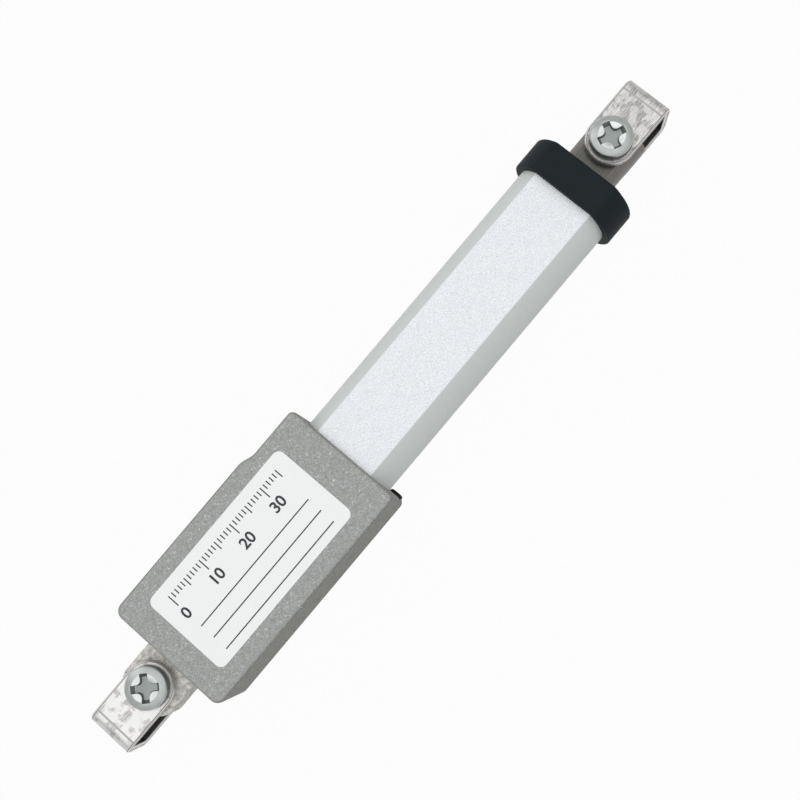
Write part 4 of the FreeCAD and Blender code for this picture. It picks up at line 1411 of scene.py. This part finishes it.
def make_film():
    film = block("label_film_sheet", label_low, (label_high.x, label_high.y, film_top))
    round_sheet(film, film_top, label_corner, 10, film_edge, 2)
    smooth(film)
    return film


def ink_block(x_low, x_high, y_low, y_high):
    return block("ink", (x_low, y_low, film_top), (x_high, y_high, label_high.z))


def ink_number(value, x, y):
    """A plain number, centred under its tick."""
    deselect()
    bpy.ops.object.text_add(location=(x, y, film_top + ink_thickness / 2))
    text = bpy.context.object
    text.data.body = str(value)
    text.data.size = number_size
    text.data.offset = bold
    text.data.align_x = "CENTER"
    text.data.align_y = "TOP"
    text.data.extrude = ink_thickness / 2
    bpy.ops.object.convert(target="MESH")
    number = fresh("ink")
    weld(number)
    return number


def make_print():
    half_line = line_width / 2
    marks = []
    for millimetre in range(scale_length + 1):
        x = scale_start + millimetre * mm
        length = next(length for every, length in tick_lengths if millimetre % every == 0)
        marks.append(ink_block(x - half_line, x + half_line, scale_line - length, scale_line))
        if millimetre % 10 == 0:
            marks.append(ink_number(millimetre, x, scale_line - number_drop))
    for row in range(rules):
        y = first_rule + rule_step * row
        marks.append(ink_block(scale_start, scale_start + scale_length * mm, y - half_line, y + half_line))
    join_up(marks)
    printed = fresh("label_print")
    coat(printed, "label_ink")
    return printed


dress(make_film(), "label_film", "housing", "label_plate")
dress(make_print(), "label_film", "housing")

# %% [markdown]
# ## The set
# The picture has a plain white ground. The floor is pale, and a Light Path node lifts it to white where the
# camera or a reflection looks at it, while it still takes a trace of the shadow. The light is a sky like a
# photographer's tent, brightest overhead and dimmer at the sides, with one soft box on the left.

# %% Floor, sky and lamps
floor_level = cad_box[0].z
floor_size = 4.0
floor_shade = 0.3
floor_roughness = 0.9
floor_whiteness = 0.97
sky_strength = 1.35
sky_tint = (0.98, 0.99, 1.0)
sky_bands = ((0.0, 0.7), (0.12, 0.6), (0.3, 0.42), (0.55, 0.52), (0.8, 0.85), (1.0, 0.98))
lamp_place = Vector((0.0, 0.7, 0.4))
lamp_target = Vector((0.095, 0, 0))
lamp_width = 0.5
lamp_radiance = 0.8


def seen_as_ground(web):
    """1 where the camera, a reflection or a view through glass meets the ground, and 0 for light from it."""
    kinds = ("Is Camera Ray", "Is Glossy Ray", "Is Transmission Ray")
    camera_ray, glossy_ray, clear_ray = (web.node("ShaderNodeLightPath", output=kind) for kind in kinds)
    return camera_ray.or_more(glossy_ray).or_more(clear_ray)


def make_floor():
    deselect()
    bpy.ops.mesh.primitive_plane_add(size=floor_size, location=(0, 0, floor_level))
    floor = fresh("floor")
    material = bpy.data.materials.new("pale_floor")
    material.use_nodes = True
    web = Web(material.node_tree)
    paper = web.tree.nodes["Principled BSDF"]
    web.feed(paper.inputs["Base Color"], (floor_shade, floor_shade, floor_shade, 1))
    web.feed(paper.inputs["Roughness"], floor_roughness)
    share = seen_as_ground(web) * floor_whiteness
    white = web.node("ShaderNodeEmission")
    lifted = web.node("ShaderNodeMixShader", inputs={0: share, 1: Wire(web, paper.outputs[0]), 2: white})
    web.feed(web.tree.nodes["Material Output"].inputs["Surface"], lifted)
    floor.data.materials.append(material)


def make_sky():
    """A sky that shades from a pale horizon, through a dimmer band, to a bright ceiling."""
    world = bpy.data.worlds.new("studio_sky")
    bpy.context.scene.world = world
    world.use_nodes = True
    web = Web(world.node_tree)
    direction = web.node("ShaderNodeTexCoord", output="Generated")
    height = web.node("ShaderNodeSeparateXYZ", inputs={"Vector": direction}, output="Z")
    stops = [(place, tuple(shade * part for part in sky_tint)) for place, shade in sky_bands]
    background = web.tree.nodes["Background"]
    web.feed(background.inputs["Color"], web.node("ShaderNodeValToRGB", {"stops": stops}, {0: height}))
    web.feed(background.inputs["Strength"], sky_strength)


def add_softbox():
    """A square lamp that gives off an even radiance, where 1 is white paper in full light."""
    turn = (lamp_target - lamp_place).to_track_quat("-Z", "Y").to_euler()
    bpy.ops.object.light_add(type="AREA", location=lamp_place, rotation=turn)
    lamp = bpy.context.object
    lamp.name = "left_softbox"
    lamp.data.shape = "SQUARE"
    lamp.data.size = lamp_width
    lamp.data.energy = lamp_radiance * math.pi * lamp_width * lamp_width


make_floor()
make_sky()
add_softbox()
bpy.context.scene.view_settings.view_transform = "Standard"
print("floor at", round(floor_level / mm, 2), "mm")
